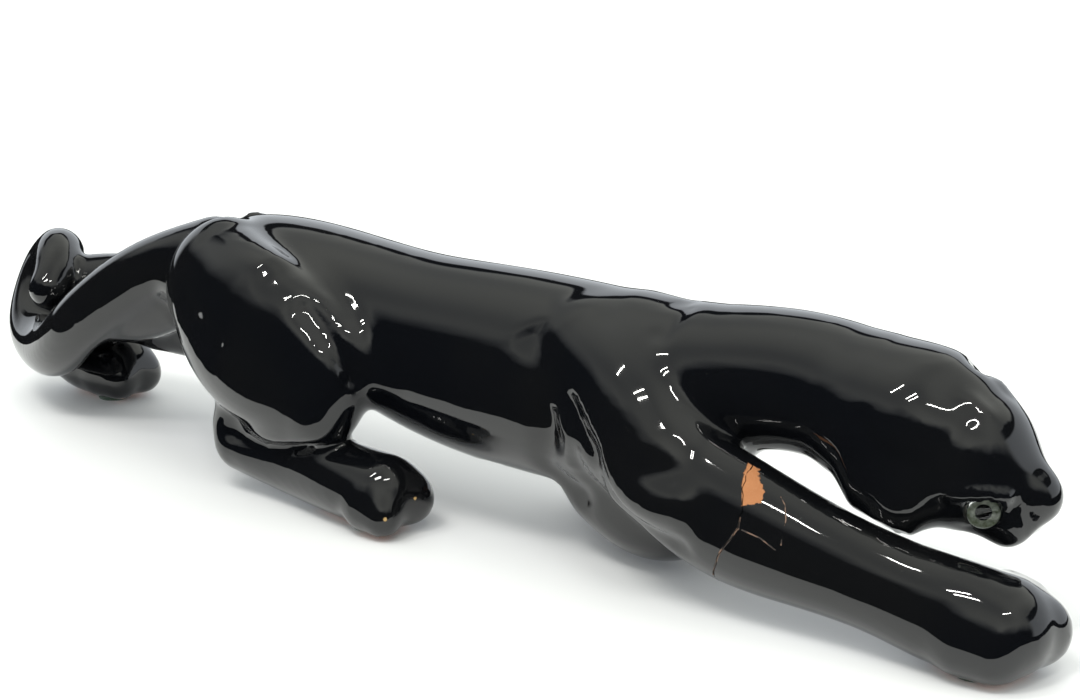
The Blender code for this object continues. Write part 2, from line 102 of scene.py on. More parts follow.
# Cracks beside the break, and how many metres wide each is
CRACKS = [
    ([(158.4, -47, 48), (158.4, -50.5, 43.4), (158.5, -51.3, 40.1)], 0.00045),
    ([
        (158.0, -51.3, 40), (155.5, -52.0, 35.7), (151.4, -51.7, 30.1), (147.5, -49, 22), (145.4, -46, 18),
    ], 0.0005),
    ([(170.2, -42.3, 51.9), (172.8, -43.9, 49.9), (175.0, -47.0, 45.7), (175.3, -50.7, 37.6)], 0.0003),
    ([(159.9, -51.3, 40.1), (167.1, -51.2, 38.6), (173.3, -51.3, 35.5)], 0.0003),
]
# Where the glaze is worn off the claws, and how many metres wide
CLAWS = [
    ([(-4.5, -46.5, 8.4), (2.5, -52.8, 12.0)], 0.0010), ([(0.0, -30.8, 13.6), (6.0, -38.8, 17.2)], 0.0008),
]

# Each limb: how softly it melts into those before it, then along its path x, y, z, half width and
# half height
FORELEG = [
    (102, -26, 56, 17, 24), (125, -31, 44, 18, 24), (150, -34, 36, 18, 24), (180, -35, 30, 16.5, 20.5),
    (210, -36, 25, 15.5, 18.5), (235, -35.5, 20.5, 17.5, 19.5), (251, -31.5, 18, 20.5, 18),
]
LIMBS = {
    "torso": (0, [
        (-136, 0, 79, 19, 19), (-115, 0, 76, 31, 31), (-80, 0, 76, 35, 34), (-45, 0, 74, 33, 33),
        (-10, 0, 68, 33, 37), (30, 0, 65, 35, 40), (65, 0, 64, 37, 40), (88, 0, 63, 36, 39),
        (102, 0, 63, 32, 35),
    ]),
    "neck": (12, [
        (95, 0, 68, 29, 33), (125, 0, 77, 29, 28), (155, 0, 81, 27, 26), (180, -2, 79, 27, 26),
        (203, -4, 75, 27, 26),
    ]),
    "cranium": (8, [(192, -4, 75, 28, 27), (210, -5, 73, 29, 29), (224, -6, 68, 25, 25)]),
    "muzzle": (8, [(218, -6, 64, 22, 22), (233, -6, 59, 18.5, 18), (241, -6, 55, 14.5, 13)]),
    "bridge": (7, [(222, -6, 73, 13, 11), (237, -6, 68, 11, 9), (247, -5.5, 61.5, 9, 7.5)]),
    "nose": (5, [(243, -5.5, 58.5, 9, 9.5), (251, -5.5, 57, 8.5, 8.5)]),
    "right_lip": (4, [(236, -12, 50, 8.5, 8), (243, -12, 48, 8.5, 8.5)]),
    "left_lip": (4, [(236, 1, 50, 8.5, 8), (243, 1, 48, 8.5, 8.5)]),
    "right_cheek": (5, [(196, -19, 60, 14, 15), (209, -21.5, 57, 15, 16)]),
    "left_cheek": (5, [(196, 11, 60, 14, 15), (209, 11.5, 57, 15, 16)]),
    "foreleg": (6, FORELEG),
    "right_shoulder": (8, [(70, -14, 84, 14, 16), (92, -25, 69, 18, 23), (112, -32, 54, 17.5, 21)]),
    "right_deltoid": (4, [
        (106, -32, 50, 17, 16), (119, -36, 43, 18.5, 13.5), (131, -37.5, 41.5, 17.5, 12.5),
    ]),
    "left_shoulder": (5, [(80, 14, 84, 14, 16), (92, 24, 68, 17, 22), (92, 31, 50, 17, 21)]),
    "left_upper_arm": (6, [(98, 28, 56, 15, 20), (75, 36, 38, 15, 18), (55, 38, 24, 14, 15)]),
    "left_forearm": (4, [(52, 38, 17.5, 13, 14), (80, 35, 12.5, 13, 13), (100, 33, 11, 16, 12.5)]),
    "brisket": (8, [(78, -6, 30, 19, 20), (98, -8, 24, 20, 21), (118, -9, 30, 18, 20)]),
    "right_thigh": (11, [
        (-108, -24, 86, 18, 26), (-85, -34, 74, 20, 34), (-60, -37, 64, 19.5, 34), (-43, -37, 58, 17, 28),
    ]),
    "right_shin": (6, [(-42, -36, 44, 14, 14), (-62, -32, 32, 14, 13), (-80, -29, 24, 12, 12)]),
    "right_heel": (6, [(-94, -30, 30, 8, 9), (-90, -31, 44, 9, 10)]),
    "right_hind_foot": (5, [
        (-90, -30, 22, 11, 14), (-60, -31, 18.5, 12, 15.5), (-30, -34.5, 16.5, 15, 15.5),
        (-12, -35.5, 15.5, 16, 15.5),
    ]),
    "left_thigh": (5, [
        (-92, 20, 82, 18, 22), (-112, 31, 66, 20, 40), (-137, 34, 59, 19, 36), (-165, 33, 54, 16, 28),
        (-190, 31, 51, 14.5, 22),
    ]),
    "left_shank": (5, [
        (-175, 32, 53, 15, 22), (-200, 31, 51, 14, 21), (-225, 30, 49, 14, 20), (-246, 29, 46, 14, 18),
    ]),
    "left_hind_foot": (4, [
        (-250, 32, 38, 14, 15), (-250, 35, 22, 15, 16), (-237, 36, 14.5, 16, 14.5),
        (-222, 37, 14.5, 16, 14.2),
    ]),
    "tail": (4, [
        (-126, -2, 92, 14, 14), (-156, -7, 81, 13, 13), (-180, -10, 66, 12, 13), (-203, -9, 48, 12, 13),
        (-223, -2, 33, 12, 13), (-244, 10, 28, 12.5, 13), (-261, 23, 33, 13, 13),
        (-268, 34, 45, 12.5, 12.5), (-265, 38, 57, 12, 12), (-255, 34, 65, 11.5, 11),
        (-246, 24, 66, 11, 10), (-239, 14, 61, 9.5, 9.5), (-237, 8, 56, 9, 9),
    ]),
    "tail_web": (9, [
        (-158, 6, 64, 12, 14), (-180, 8, 57, 14, 16), (-200, 9, 51, 14, 14), (-214, 11, 45, 11, 10),
    ]),
}
HOLLOW = {
    "torso": (0, [
        (-112, 0, 77, 18, 20), (-92, 0, 76, 26, 26), (-60, 0, 75, 28, 28), (-20, 0, 69.5, 27, 30),
        (30, 0, 66, 29, 33), (65, 0, 65, 31, 34), (95, 0, 66, 27, 30),
    ]),
    "neck": (6, [
        (88, 0, 70, 23, 26), (125, 0, 78, 22, 21), (155, 0, 81, 20.5, 19.5), (180, -2, 79.5, 20, 19),
        (200, -4, 76, 20, 18),
    ]),
}

BODY_TOES = {
    "right_hind_near": (4, [(-14, -44, 11.5, 9, 10.5), (-5.5, -45.5, 9.5, 8, 8.8)]),
    "right_hind_far": (4, [(-12, -29, 14.5, 9.5, 11), (-3, -29.5, 13, 8.8, 10.5)]),
    "left_hind_near": (4, [(-226, 29, 12, 9, 10), (-216, 28.5, 10.5, 8, 9)]),
    "left_hind_far": (4, [(-224, 43, 13, 9, 10), (-214.5, 43, 11, 8.5, 9.5)]),
    "left_fore_near": (4, [(103, 26, 10.5, 8.5, 9), (110, 26, 9.5, 7.5, 8)]),
    "left_fore_far": (4, [(103, 39, 10.5, 8.5, 9), (110, 40, 9.5, 7.5, 8)]),
}
LEG_TOES = {
    "near": (5, [(243, -42.5, 15, 11, 13), (253, -43, 12.5, 9.5, 11)]),
    "far": (5, [(248, -22, 17, 11.5, 14.5), (260.5, -21, 15, 10.5, 12.5)]),
    "upper": (4, [(246, -17, 25, 7, 7.5), (254, -16, 23.5, 6, 6.5)]),
}

# Valleys in the skin: depth (less than nothing for a ridge), half width, and points on the surface
CREASES = [
    (3.2, 4.8, [(-48, -44, 93), (-40, -43.5, 86), (-31, -43, 76), (-23.5, -42, 65.5), (-21, -38, 56)]),
    (2.0, 8.0, [(-112, -42.6, 85.5), (-100, -48, 79), (-88, -53, 72), (-74, -56, 66)]),
    (-2.4, 9.0, [(-112, -16, 106), (-97, -24, 106), (-82, -32, 105), (-68, -38, 102), (-58, -42, 98)]),
    (3.6, 4.0, [
        (-97, -32, 27), (-88, -38, 27), (-75, -41, 26), (-62, -41.5, 26.5), (-42, -41, 34.5), (-32, -40, 48),
    ]),
    (-1.4, 5.0, [(-47, -41, 94), (-37, -37, 86), (-24, -35.5, 69), (-5, -31, 54)]),
    (1.8, 8.0, [(50.7, -25.3, 93), (59.6, -31.8, 84.3), (66, -36, 73.5), (67.7, -37, 65.8)]),
    (3.0, 5.5, [
        (66, -36.8, 72), (66.5, -36.6, 58), (64.4, -33.4, 47), (62, -27, 36.5), (72, -25, 29),
        (84, -26.5, 25),
    ]),
    (-1.2, 4.0, [(72, -37.5, 68), (76, -38.5, 57), (75, -36, 46), (76, -31, 36)]),
    (2.6, 4.5, [(73, -37, 74), (83, -40, 65), (89.5, -43.5, 57), (92, -43.5, 47), (94, -36, 36)]),
    (3.0, 3.6, [
        (90, -43, 62), (94, -45, 52), (99, -46, 43), (106, -47, 34.5), (117, -47.5, 28.5), (130, -48.5, 27),
        (141, -49, 28),
    ]),
    (0.9, 4.0, [(108.5, -1.6, 103.7), (108, -15, 99.8), (106, -24, 92.8)]),
    (1.2, 5.0, [(112.7, 10.5, 102), (125.8, 25.3, 90.7), (142.3, 25.2, 68.2)]),
    (1.8, 4.0, [(87.2, 38.9, 75.7), (73.9, 37.7, 66.3), (62, 36.4, 55)]),
    (2.4, 4.5, [(-54.8, 29.5, 90.9), (-58.1, 33.7, 78), (-60.9, 31, 62), (-54.6, 23, 51)]),
    (1.0, 3.0, [(-140, -19, 90), (-165, -22, 78), (-188, -22, 62), (-206, -20, 46)]),
]
# The head's valleys and ridges on its right side. Its left side is their mirror image.
FACE = [
    (1.3, 3.0, [
        (192.6, -31, 86.6), (198.3, -34, 78), (204.2, -34.7, 73.6), (212, -34, 70.6), (218, -32.8, 69.6),
    ]),
    (-3.0, 3.0, [
        (225, -30.5, 60), (231.4, -30, 61.5), (237, -28.5, 61.8), (244, -23.5, 61), (248.5, -18, 60),
    ]),
    (1.1, 3.4, [(247, -21, 59), (249.5, -18, 56), (251.1, -16, 52), (252.3, -12.4, 47)]),
    (1.1, 2.8, [(229, -20, 46), (234, -20.5, 46.5), (240.7, -20.5, 46.6), (243.5, -18, 44)]),
    (0.8, 3.6, [(222, -33, 59), (226, -31, 52), (230, -27, 47)]),
]
FACE_MIDDLE = -5.5  # the y of the head's middle plane
# Mounds on the skin: height (less than nothing for a hollow), place and half sizes
LUMPS = [
    (2.0, (230, -17, 90), (9, 3, 4)), (2.0, (230, 6, 90), (9, 3, 4)),
    (-1.6, (228, -17, 89.5), (5, 2, 2.2)), (-1.6, (228, 6, 89.5), (5, 2, 2.2)),
    (-1.2, (104.5, -1.2, 103.6), (5, 5, 4)), (-3.6, (221, 6, 93), (5, 9, 6)),
    (-1.2, (221, -17, 93), (7, 9, 7)),
]


def through(stations, count):
    """A natural cubic through the stations, read at count even steps of the square root of the distance."""
    rows = np.asarray(stations, float)
    step = np.linalg.norm(np.diff(rows[:, :3], axis=0), axis=1) ** 0.5
    at = np.concatenate([[0.0], np.cumsum(step)])
    size = len(rows)
    system, right = np.eye(size), np.zeros(rows.shape)
    for i in range(1, size - 1):
        system[i, i - 1 : i + 2] = step[i - 1], 2 * (step[i - 1] + step[i]), step[i]
        right[i] = 6 * ((rows[i + 1] - rows[i]) / step[i] - (rows[i] - rows[i - 1]) / step[i - 1])
    bend = np.linalg.solve(system, right)
    places = np.linspace(0, at[-1], count)
    k = np.clip(np.searchsorted(at, places, side="right") - 1, 0, size - 2)
    width = step[k][:, None]
    a = (at[k + 1] - places)[:, None] / width
    b = (places - at[k])[:, None] / width
    bow = ((a**3 - a) * bend[k] + (b**3 - b) * bend[k + 1]) * width**2 / 6
    return a * rows[k] + b * rows[k + 1] + bow


def grid_faces(rows, columns):
    """Quads of a grid of points whose columns are joined round."""
    i = np.arange(rows - 1)[:, None]
    j = np.arange(columns)[None]
    k = (j + 1) % columns
    here, past = i * columns, (i + 1) * columns
    return np.stack([here + j, here + k, past + k, past + j], -1).reshape(-1, 4)


def outward(points, triangles):
    """The triangles, turned round if they enclose less than nothing."""
    corner = points[triangles]
    volume = np.einsum("ij,ij->", corner[:, 0], np.cross(corner[:, 1], corner[:, 2]))
    return triangles if volume > 0 else triangles[:, ::-1]


def untwisted(path, first):
    """The way along a path, and two ways across it that don't twist.

    Each way across is the one before it, first to begin with, less its part along the path.
    """
    along = np.gradient(path, axis=0)
    along /= np.linalg.norm(along, axis=1)[:, None]
    across = [np.array(first)]
    for tangent in along:
        side = across[-1] - across[-1].dot(tangent) * tangent
        across.append(side / np.linalg.norm(side))
    across = np.array(across[1:])
    return along, across, np.cross(along, across)


def capped(rings, first, last):
    """Rings joined by triangles to a tube, which a point closes at each end."""
    rows, around = rings.shape[:2]
    quads = grid_faces(rows, around)
    points = np.concatenate([rings.reshape(-1, 3), [first], [last]])
    j = np.arange(around)
    k = (j + 1) % around
    end = (rows - 1) * around
    first_cap = np.stack([np.full(around, len(points) - 2), k, j], -1)
    last_cap = np.stack([np.full(around, len(points) - 1), end + j, end + k], -1)
    return points, outward(points, np.concatenate([quads[:, :3], quads[:, [0, 2, 3]], first_cap, last_cap]))


def limb(stations, around=112, spacing=1.6, dome=12):
    """Ellipses carried along the stations' curve without twist, level with Y where it starts.

    Each end is closed by a dome: the ellipse times the cosine of an angle, moved out by its mean
    radius times the sine.
    """
    length = np.linalg.norm(np.diff(np.asarray(stations, float)[:, :3], axis=0), axis=1).sum()
    rows = through(stations, max(8, int(length / spacing)))
    centre, half = rows[:, :3], rows[:, 3:5]
    along, wide, high = untwisted(centre, (0.0, 1.0, 0.0))
    bend = np.linspace(0, np.pi / 2, dome + 1)[1:, None]
    start = centre[0] - along[0] * half[0].mean() * np.sin(bend[::-1])
    end = centre[-1] + along[-1] * half[-1].mean() * np.sin(bend)
    centre = np.concatenate([start, centre, end])
    scale = np.maximum(np.concatenate([np.cos(bend[::-1]), np.ones((len(half), 1)), np.cos(bend)]), 1e-3)
    take = np.clip(np.arange(-dome, len(half) + dome), 0, len(half) - 1)
    half, wide, high = half[take] * scale, wide[take], high[take]
    turn = np.linspace(0, 2 * np.pi, around, endpoint=False)[None, :, None]
    rings = half[:, :1, None] * np.cos(turn) * wide[:, None]
    rings += half[:, 1:, None] * np.sin(turn) * high[:, None]
    rings += centre[:, None]
    return capped(rings, centre[0], centre[-1])


def cells_between(low, high):
    """The field's slices between two corners, and the coordinates of the cells there."""
    first = np.clip(np.floor((np.asarray(low) - FIELD_LOW) / STEP).astype(int), 0, FIELD_SIZE)
    last = np.clip(np.ceil((np.asarray(high) - FIELD_LOW) / STEP).astype(int) + 1, 0, FIELD_SIZE)
    where = tuple(slice(a, b) for a, b in zip(first, last))
    axes = [FIELD_LOW[i] + STEP * np.arange(first[i], last[i], dtype=np.float32) for i in range(3)]
    return where, np.meshgrid(*axes, indexing="ij", sparse=True)


def melt(a, b, soft):
    """The smaller of two distances, rounded over where they differ by less than soft."""
    if soft <= 0:
        return np.minimum(a, b)
    h = np.clip(0.5 + 0.5 * (b - a) / soft, 0, 1)
    return b * (1 - h) + a * h - soft * h * (1 - h)


def limb_field(stations):
    """The distance from a limb's skin, less than nothing inside it."""
    points, faces = limb(stations)
    where, _ = cells_between(points.min(0) - BAND, points.max(0) + BAND)
    level = openvdb.FloatGrid.createLevelSetFromPolygons(
        ((points - FIELD_LOW) / STEP).astype(np.float32),
        triangles=np.ascontiguousarray(faces, np.uint32),
        transform=openvdb.createLinearTransform(1.0),
        halfWidth=BAND / STEP,
    )
    near = np.full([s.stop - s.start for s in where], BAND / STEP, np.float32)
    level.copyToArray(near, tuple(s.start for s in where))
    return where, near * STEP


def melted(limbs):
    field = np.full(FIELD_SIZE, BAND, np.float32)
    for soft, stations in limbs.values():
        where, near = limb_field(stations)
        field[where] = melt(field[where], near, soft)
    return field


def nearest_on_line(points, cells):
    """How far each cell is from a line of straight stretches, and how far along it, from 0 to 1."""
    points = np.asarray(points, np.float32)
    lengths = np.linalg.norm(np.diff(points, axis=0), axis=1)
    best, place, done = np.float32(1e9), np.float32(0.0), 0.0
    for a, b, length in zip(points, points[1:], lengths):
        way = (b - a) / length
        t = np.clip(sum((cells[i] - a[i]) * way[i] for i in range(3)), 0, length)
        gap = sum((cells[i] - a[i] - t * way[i]) ** 2 for i in range(3))
        place = np.where(gap < best, (done + t) / lengths.sum(), place)
        best = np.minimum(best, gap)
        done += length
    return np.sqrt(best), place


def curve(points, count):
    """A natural cubic through points, read at count places."""
    return through(np.pad(np.asarray(points, float), ((0, 0), (0, 2))), count)[:, :3]


def crease(field, depth, width, points):
    """A valley whose depth is a bell curve of the distance from a line and fades over each end's sixth."""
    line = curve(points, 4 * len(points))
    where, cells = cells_between(line.min(0) - 3 * width, line.max(0) + 3 * width)
    gap, at = nearest_on_line(line, cells)
    fade = np.clip(6 * np.minimum(at, 1 - at), 0, 1)
    field[where] += (depth * np.exp(-((gap / width) ** 2)) * fade * fade * (3 - 2 * fade)).astype(np.float32)


def lump(field, height, at, size):
    """A mound, or a hollow when height is less than nothing, that falls off as a bell curve about a point."""
    reach = 2.6 * np.asarray(size)
    where, cells = cells_between(at - reach, at + reach)
    gap = sum(((cells[i] - at[i]) / size[i]) ** 2 for i in range(3))
    field[where] -= (height * np.exp(-gap)).astype(np.float32)


def take_away(field, low, high, distance, soft=1.0):
    """Cuts a shape out of the field.

    distance gives, for the cells between two corners, how far outside the shape each is.
    """
    where, cells = cells_between(low, high)
    field[where] = -melt(-field[where], np.broadcast_to(distance(*cells), field[where].shape), soft)


def skin_of(field):
    """The field's zero surface as points and quads facing out.

    It is evened by steps that shrink and swell in turn, which leave its volume alone.
    """
    level = openvdb.FloatGrid(BAND)
    level.copyFromArray(np.ascontiguousarray(field, np.float32))
    points, quads = level.convertToQuads(0.0)
    points, quads = points.astype(float), quads[:, ::-1].astype(np.int64)
    ends = np.concatenate([quads[:, [i, (i + 1) % 4]] for i in range(4)])
    ends = np.concatenate([ends, ends[:, ::-1]])
    size = len(points)
    count = np.bincount(ends[:, 0], minlength=size)[:, None]
    for pull in (SHRINK, SWELL) * ROUNDS:
        sums = [np.bincount(ends[:, 0], weights=points[ends[:, 1], k], minlength=size) for k in range(3)]
        points = points + pull * (np.stack(sums, -1) / count - points)
    return points * STEP + FIELD_LOW, quads


def box_distance(low, high):
    """How far outside a box a cell is: the largest of the distances past its six faces."""

    def distance(x, y, z):
        past = [low[0] - x, x - high[0], low[1] - y, y - high[1], low[2] - z, z - high[2]]
        return np.maximum.reduce(np.broadcast_arrays(*past))

    return distance


def from_axis(at, way, x, y, z):
    """How far along an axis each cell is, and how far from it."""
    way = np.asarray(way, float) / np.linalg.norm(way)
    offset = (x - at[0], y - at[1], z - at[2])
    along = sum(offset[i] * way[i] for i in range(3))
    return along, np.sqrt(np.maximum(sum(offset[i] ** 2 for i in range(3)) - along**2, 0))


def rod_distance(at, way, low, high, radius):
    """How far outside a rod a cell is: the larger of the distances past its side and past its ends."""

    def distance(x, y, z):
        along, across = from_axis(at, way, x, y, z)
        return np.maximum(np.maximum(low - along, along - high), across - radius)

    return distance


def eye_room(side):
    """How far outside an eye's room a cell is.

    The room is a rod behind the glass's edge, half an ellipsoid round its dome, and in front of them
    a rod set lower, so that the brow overhangs the glass.
    """
    at, way = np.asarray(EYE_AT[side]), EYE_WAY[side]
    behind = rod_distance(at, way, -9.0, -0.3, EYE_R + EYE_ROOM)
    before = rod_distance(at - (0, 0, BROW_DROP), way, -EYE_EDGE, 12.0, EYE_R + 0.2)

    def distance(x, y, z):
        along, across = from_axis(at, way, x, y, z)
        dome = 4.0 * (np.hypot((along + EYE_EDGE) / (EYE_RISE + 0.4), across / (EYE_R + EYE_ROOM)) - 1)
        dome = np.maximum(dome, -EYE_EDGE - along)
        return np.minimum(np.minimum(behind(x, y, z), before(x, y, z)), dome)

    return distance


def opening_distance(x, y, z):
    """How far outside the belly opening a cell is.

    That is its distance from the line between the centres of the round ends, less the half width.
    """
    return np.maximum(np.hypot(x - np.clip(x, *OPENING_ENDS), y) - OPENING_HALF, z - OPENING_TOP)


def break_at(y, z):
    """How far forward the break runs: BREAK_LINE at height z, and two crossed waves for the clay's grain."""
    heights, places = zip(*BREAK_LINE)
    grain = 0.4 * np.sin(1.1 * z + 0.5 * y) + 0.25 * np.sin(2.7 * z - 1.3 * y)
    return np.interp(z, heights, places) + grain


def ground(field):
    """Grinds the soles flat at SOLE_Z."""
    where, (x, y, z) = cells_between(FIELD_LOW, (1e3, 1e3, SOLE_Z + BAND))
    field[where] = np.maximum(field[where], SOLE_Z - z)


def sculpt(field):
    for depth, width, points in CREASES + FACE:
        crease(field, depth, width, points)
    for depth, width, points in FACE:
        crease(field, depth, width, [(x, 2 * FACE_MIDDLE - y, z) for x, y, z in points])
    for height, at, size in LUMPS:
        lump(field, height, at, size)


def leg_field():
    field = np.full(FIELD_SIZE, BAND, np.float32)
    where, near = limb_field(FORELEG)
    field[where] = near
    return field


def casting_field():
    """The panther's skin, less its hollow, belly opening, pockets and the room for the broken foreleg."""
    field = melted({**LIMBS, **BODY_TOES})
    sculpt(field)
    ground(field)
    hollow = melted(HOLLOW)
    where, cells = cells_between((-20, -16, 34), (16, 16, 56))
    pocket = box_distance((-16, -12, FLOOR_Z), (12, 12, 52))(*cells)
    pad = box_distance((-17, -13, 20), (13, 13, FLOOR_Z))(*cells)
    hollow[where] = np.maximum(np.minimum(hollow[where], pocket), -pad)
    where, cells = cells_between((-64, -12, 44), (-40, 12, 62))
    screw, cord = (SCREW_X, 0, 0), (GROMMET_X, 0, 0)
    seat = rod_distance(cord, UP, 47.5, 58, CORD_SEAT)(*cells)
    hollow[where] = np.minimum(hollow[where], seat)
    field = -melt(-field, hollow, 1.0)
    take_away(field, (10, -22, 0), (80, 22, 56), opening_distance, 3.0)
    take_away(field, (-15, -12, 16), (7, 12, 40), rod_distance(screw, UP, 0, SPOT_Z, SPOT_R), 0.5)
    take_away(field, (-10, -7, 16), (2, 7, 50), rod_distance(screw, UP, 0, 50, SCREW_HOLE), 0.0)
    take_away(field, (-64, -12, 22), (-40, 12, 45), rod_distance(cord, UP, 0, 42, CORD_SEAT), 0.5)
    take_away(field, (-62, -10, 26), (-42, 10, 62), rod_distance(cord, UP, 0, 60, CORD_HOLE), 0.0)
    for side, at in EYE_AT.items():
        take_away(field, np.subtract(at, 18), np.add(at, 18), eye_room(side), 0.3)
    leg = leg_field()
    where, (x, y, z) = cells_between((120, -70, -12), (296, 0, 90))
    room = np.maximum(leg[where] - LEG_ROOM, break_at(y, z) + BREAK_SPARE - x)
    field[where] = np.maximum(field[where], -room)
    return field


def foreleg_field():
    """The stretched foreleg with its toes, from a little behind the break."""
    field = leg_field()
    for soft, stations in LEG_TOES.values():
        where, near = limb_field(stations)
        field[where] = melt(field[where], near, soft)
    sculpt(field)
    ground(field)
    where, (x, y, z) = cells_between((70, -70, -12), (296, 10, 90))
    field[where] = np.maximum(field[where], break_at(y, z) - BREAK_SPARE - x)
    return field


def break_slab(first, last):
    """A block round the foreleg's section, whose ends are the break moved first and last forward.

    On each end, rings shrink by even steps to the middle.
    """
    turn = np.linspace(0, 2 * np.pi, 72, endpoint=False)
    share = np.linspace(0, 1, 22)[1:, None]
    y = BREAK_MIDDLE[0] + BREAK_HALF[0] * share * np.cos(turn)
    z = BREAK_MIDDLE[1] + BREAK_HALF[1] * share * np.sin(turn)
    ends = [np.stack([break_at(y, z) + move, y, z], -1).reshape(-1, 3) for move in (first, last)]
    middles = [[break_at(*BREAK_MIDDLE) + move, *BREAK_MIDDLE] for move in (first, last)]
    points = np.concatenate([ends[0], ends[1], middles])
    rows, size = len(share), len(ends[0])
    disc = grid_faces(rows, len(turn))
    j = np.arange(len(turn))
    k = (j + 1) % len(turn)
    rim = (rows - 1) * len(turn)
    sides = np.stack([rim + j, rim + k, size + rim + k, size + rim + j], -1)
    quads = np.concatenate([disc[:, ::-1], disc + size, sides])
    first_cap = np.stack([np.full(len(j), 2 * size), k, j], -1)
    last_cap = np.stack([np.full(len(j), 2 * size + 1), size + j, size + k], -1)
    triangles = np.concatenate([quads[:, :3], quads[:, [0, 2, 3]], first_cap, last_cap])
    return points, outward(points, triangles)


def to_row(points):
    return (np.asarray(points) + SHIFT) * MM


def mesh_of(name, points, faces):
    mesh = bpy.data.meshes.new(name)
    faces = faces if isinstance(faces, list) else np.asarray(faces).tolist()
    mesh.from_pydata(to_row(points).tolist(), [], faces)
    mesh.update()
    return mesh


def object_of(name, points, faces):
    obj = bpy.data.objects.new(name, mesh_of(name, points, faces))
    bpy.context.scene.collection.objects.link(obj)
    return obj


def settled(obj):
    """Puts what the modifiers make into the object's mesh and removes them."""
    made = bpy.data.meshes.new_from_object(obj.evaluated_get(bpy.context.evaluated_depsgraph_get()))
    obj.modifiers.clear()
    old, obj.data = obj.data, made
    made.name = obj.name
    bpy.data.meshes.remove(old)
    return obj


def cut_with(obj, points, faces):
    """Cuts a closed shape out of the object."""
    tool = object_of("tool", points, faces)
    boolean = obj.modifiers.new("cut", "BOOLEAN")
    boolean.object, boolean.operation, boolean.solver = tool, "DIFFERENCE", "EXACT"
    bpy.context.view_layer.update()
    settled(obj)
    mesh = tool.data
    bpy.data.objects.remove(tool)
    bpy.data.meshes.remove(mesh)
    return obj


def places(obj):
    """The object's points in millimetres from the working origin."""
    points = np.empty(len(obj.data.vertices) * 3, np.float32)
    obj.data.vertices.foreach_get("co", points)
    return points.reshape(-1, 3) / MM - SHIFT


def mark(obj, name, values):
    layer = obj.data.attributes.new(name, "FLOAT", "POINT")
    layer.data.foreach_set("value", np.asarray(values, np.float32))


def ramp(values, first, last):
    t = np.clip((values - first) / (last - first), 0, 1)
    return t * t * (3 - 2 * t)


def clay_shown(obj, inside):
    """Marks how bare the clay is: the ground soles, the broken faces and the hollow."""
    points = places(obj)
    x, y, z = points.T
    sole = ramp(-z, -SOLE_Z - 0.12, -SOLE_Z - 0.02)
    leg_inside = np.hypot((y + 34) / 18.0, (z - 36) / 24.0) < 0.93
    broken = ramp(-np.abs(x - break_at(y, z)), -0.9, -0.3) * leg_inside
    bare = np.maximum(sole, broken)
    if inside is not None:
        cell = np.clip(np.rint((points - FIELD_LOW) / STEP).astype(int), 0, FIELD_SIZE - 1)
        bare = np.maximum(bare, ramp(-inside[tuple(cell.T)], -2.6, -1.4))
    mark(obj, "bare", bare)


class Link:
    """A node's output, whose arithmetic adds Math nodes."""

    def __init__(self, finish, socket):
        self.finish, self.socket = finish, socket

    def maths(self, operation, *values):
        return self.finish.node("ShaderNodeMath", {"operation": operation}, *values)

    def __add__(self, other):
        return self.maths("ADD", self, other)

    def __sub__(self, other):
        return self.maths("SUBTRACT", self, other)

    def __rsub__(self, other):
        return self.maths("SUBTRACT", other, self)

    def __mul__(self, other):
        return self.maths("MULTIPLY", self, other)

    __radd__ = __add__
    __rmul__ = __mul__

    def least(self, other):
        return self.maths("MINIMUM", self, other)

    def most(self, other):
        return self.maths("MAXIMUM", self, other)

    def step(self, first, last):
        """0 up to first, 1 from last on, and a smooth rise between them."""
        settings = {"interpolation_type": "SMOOTHSTEP"}
        return self.finish.node("ShaderNodeMapRange", settings, self, first, last, 0.0, 1.0)


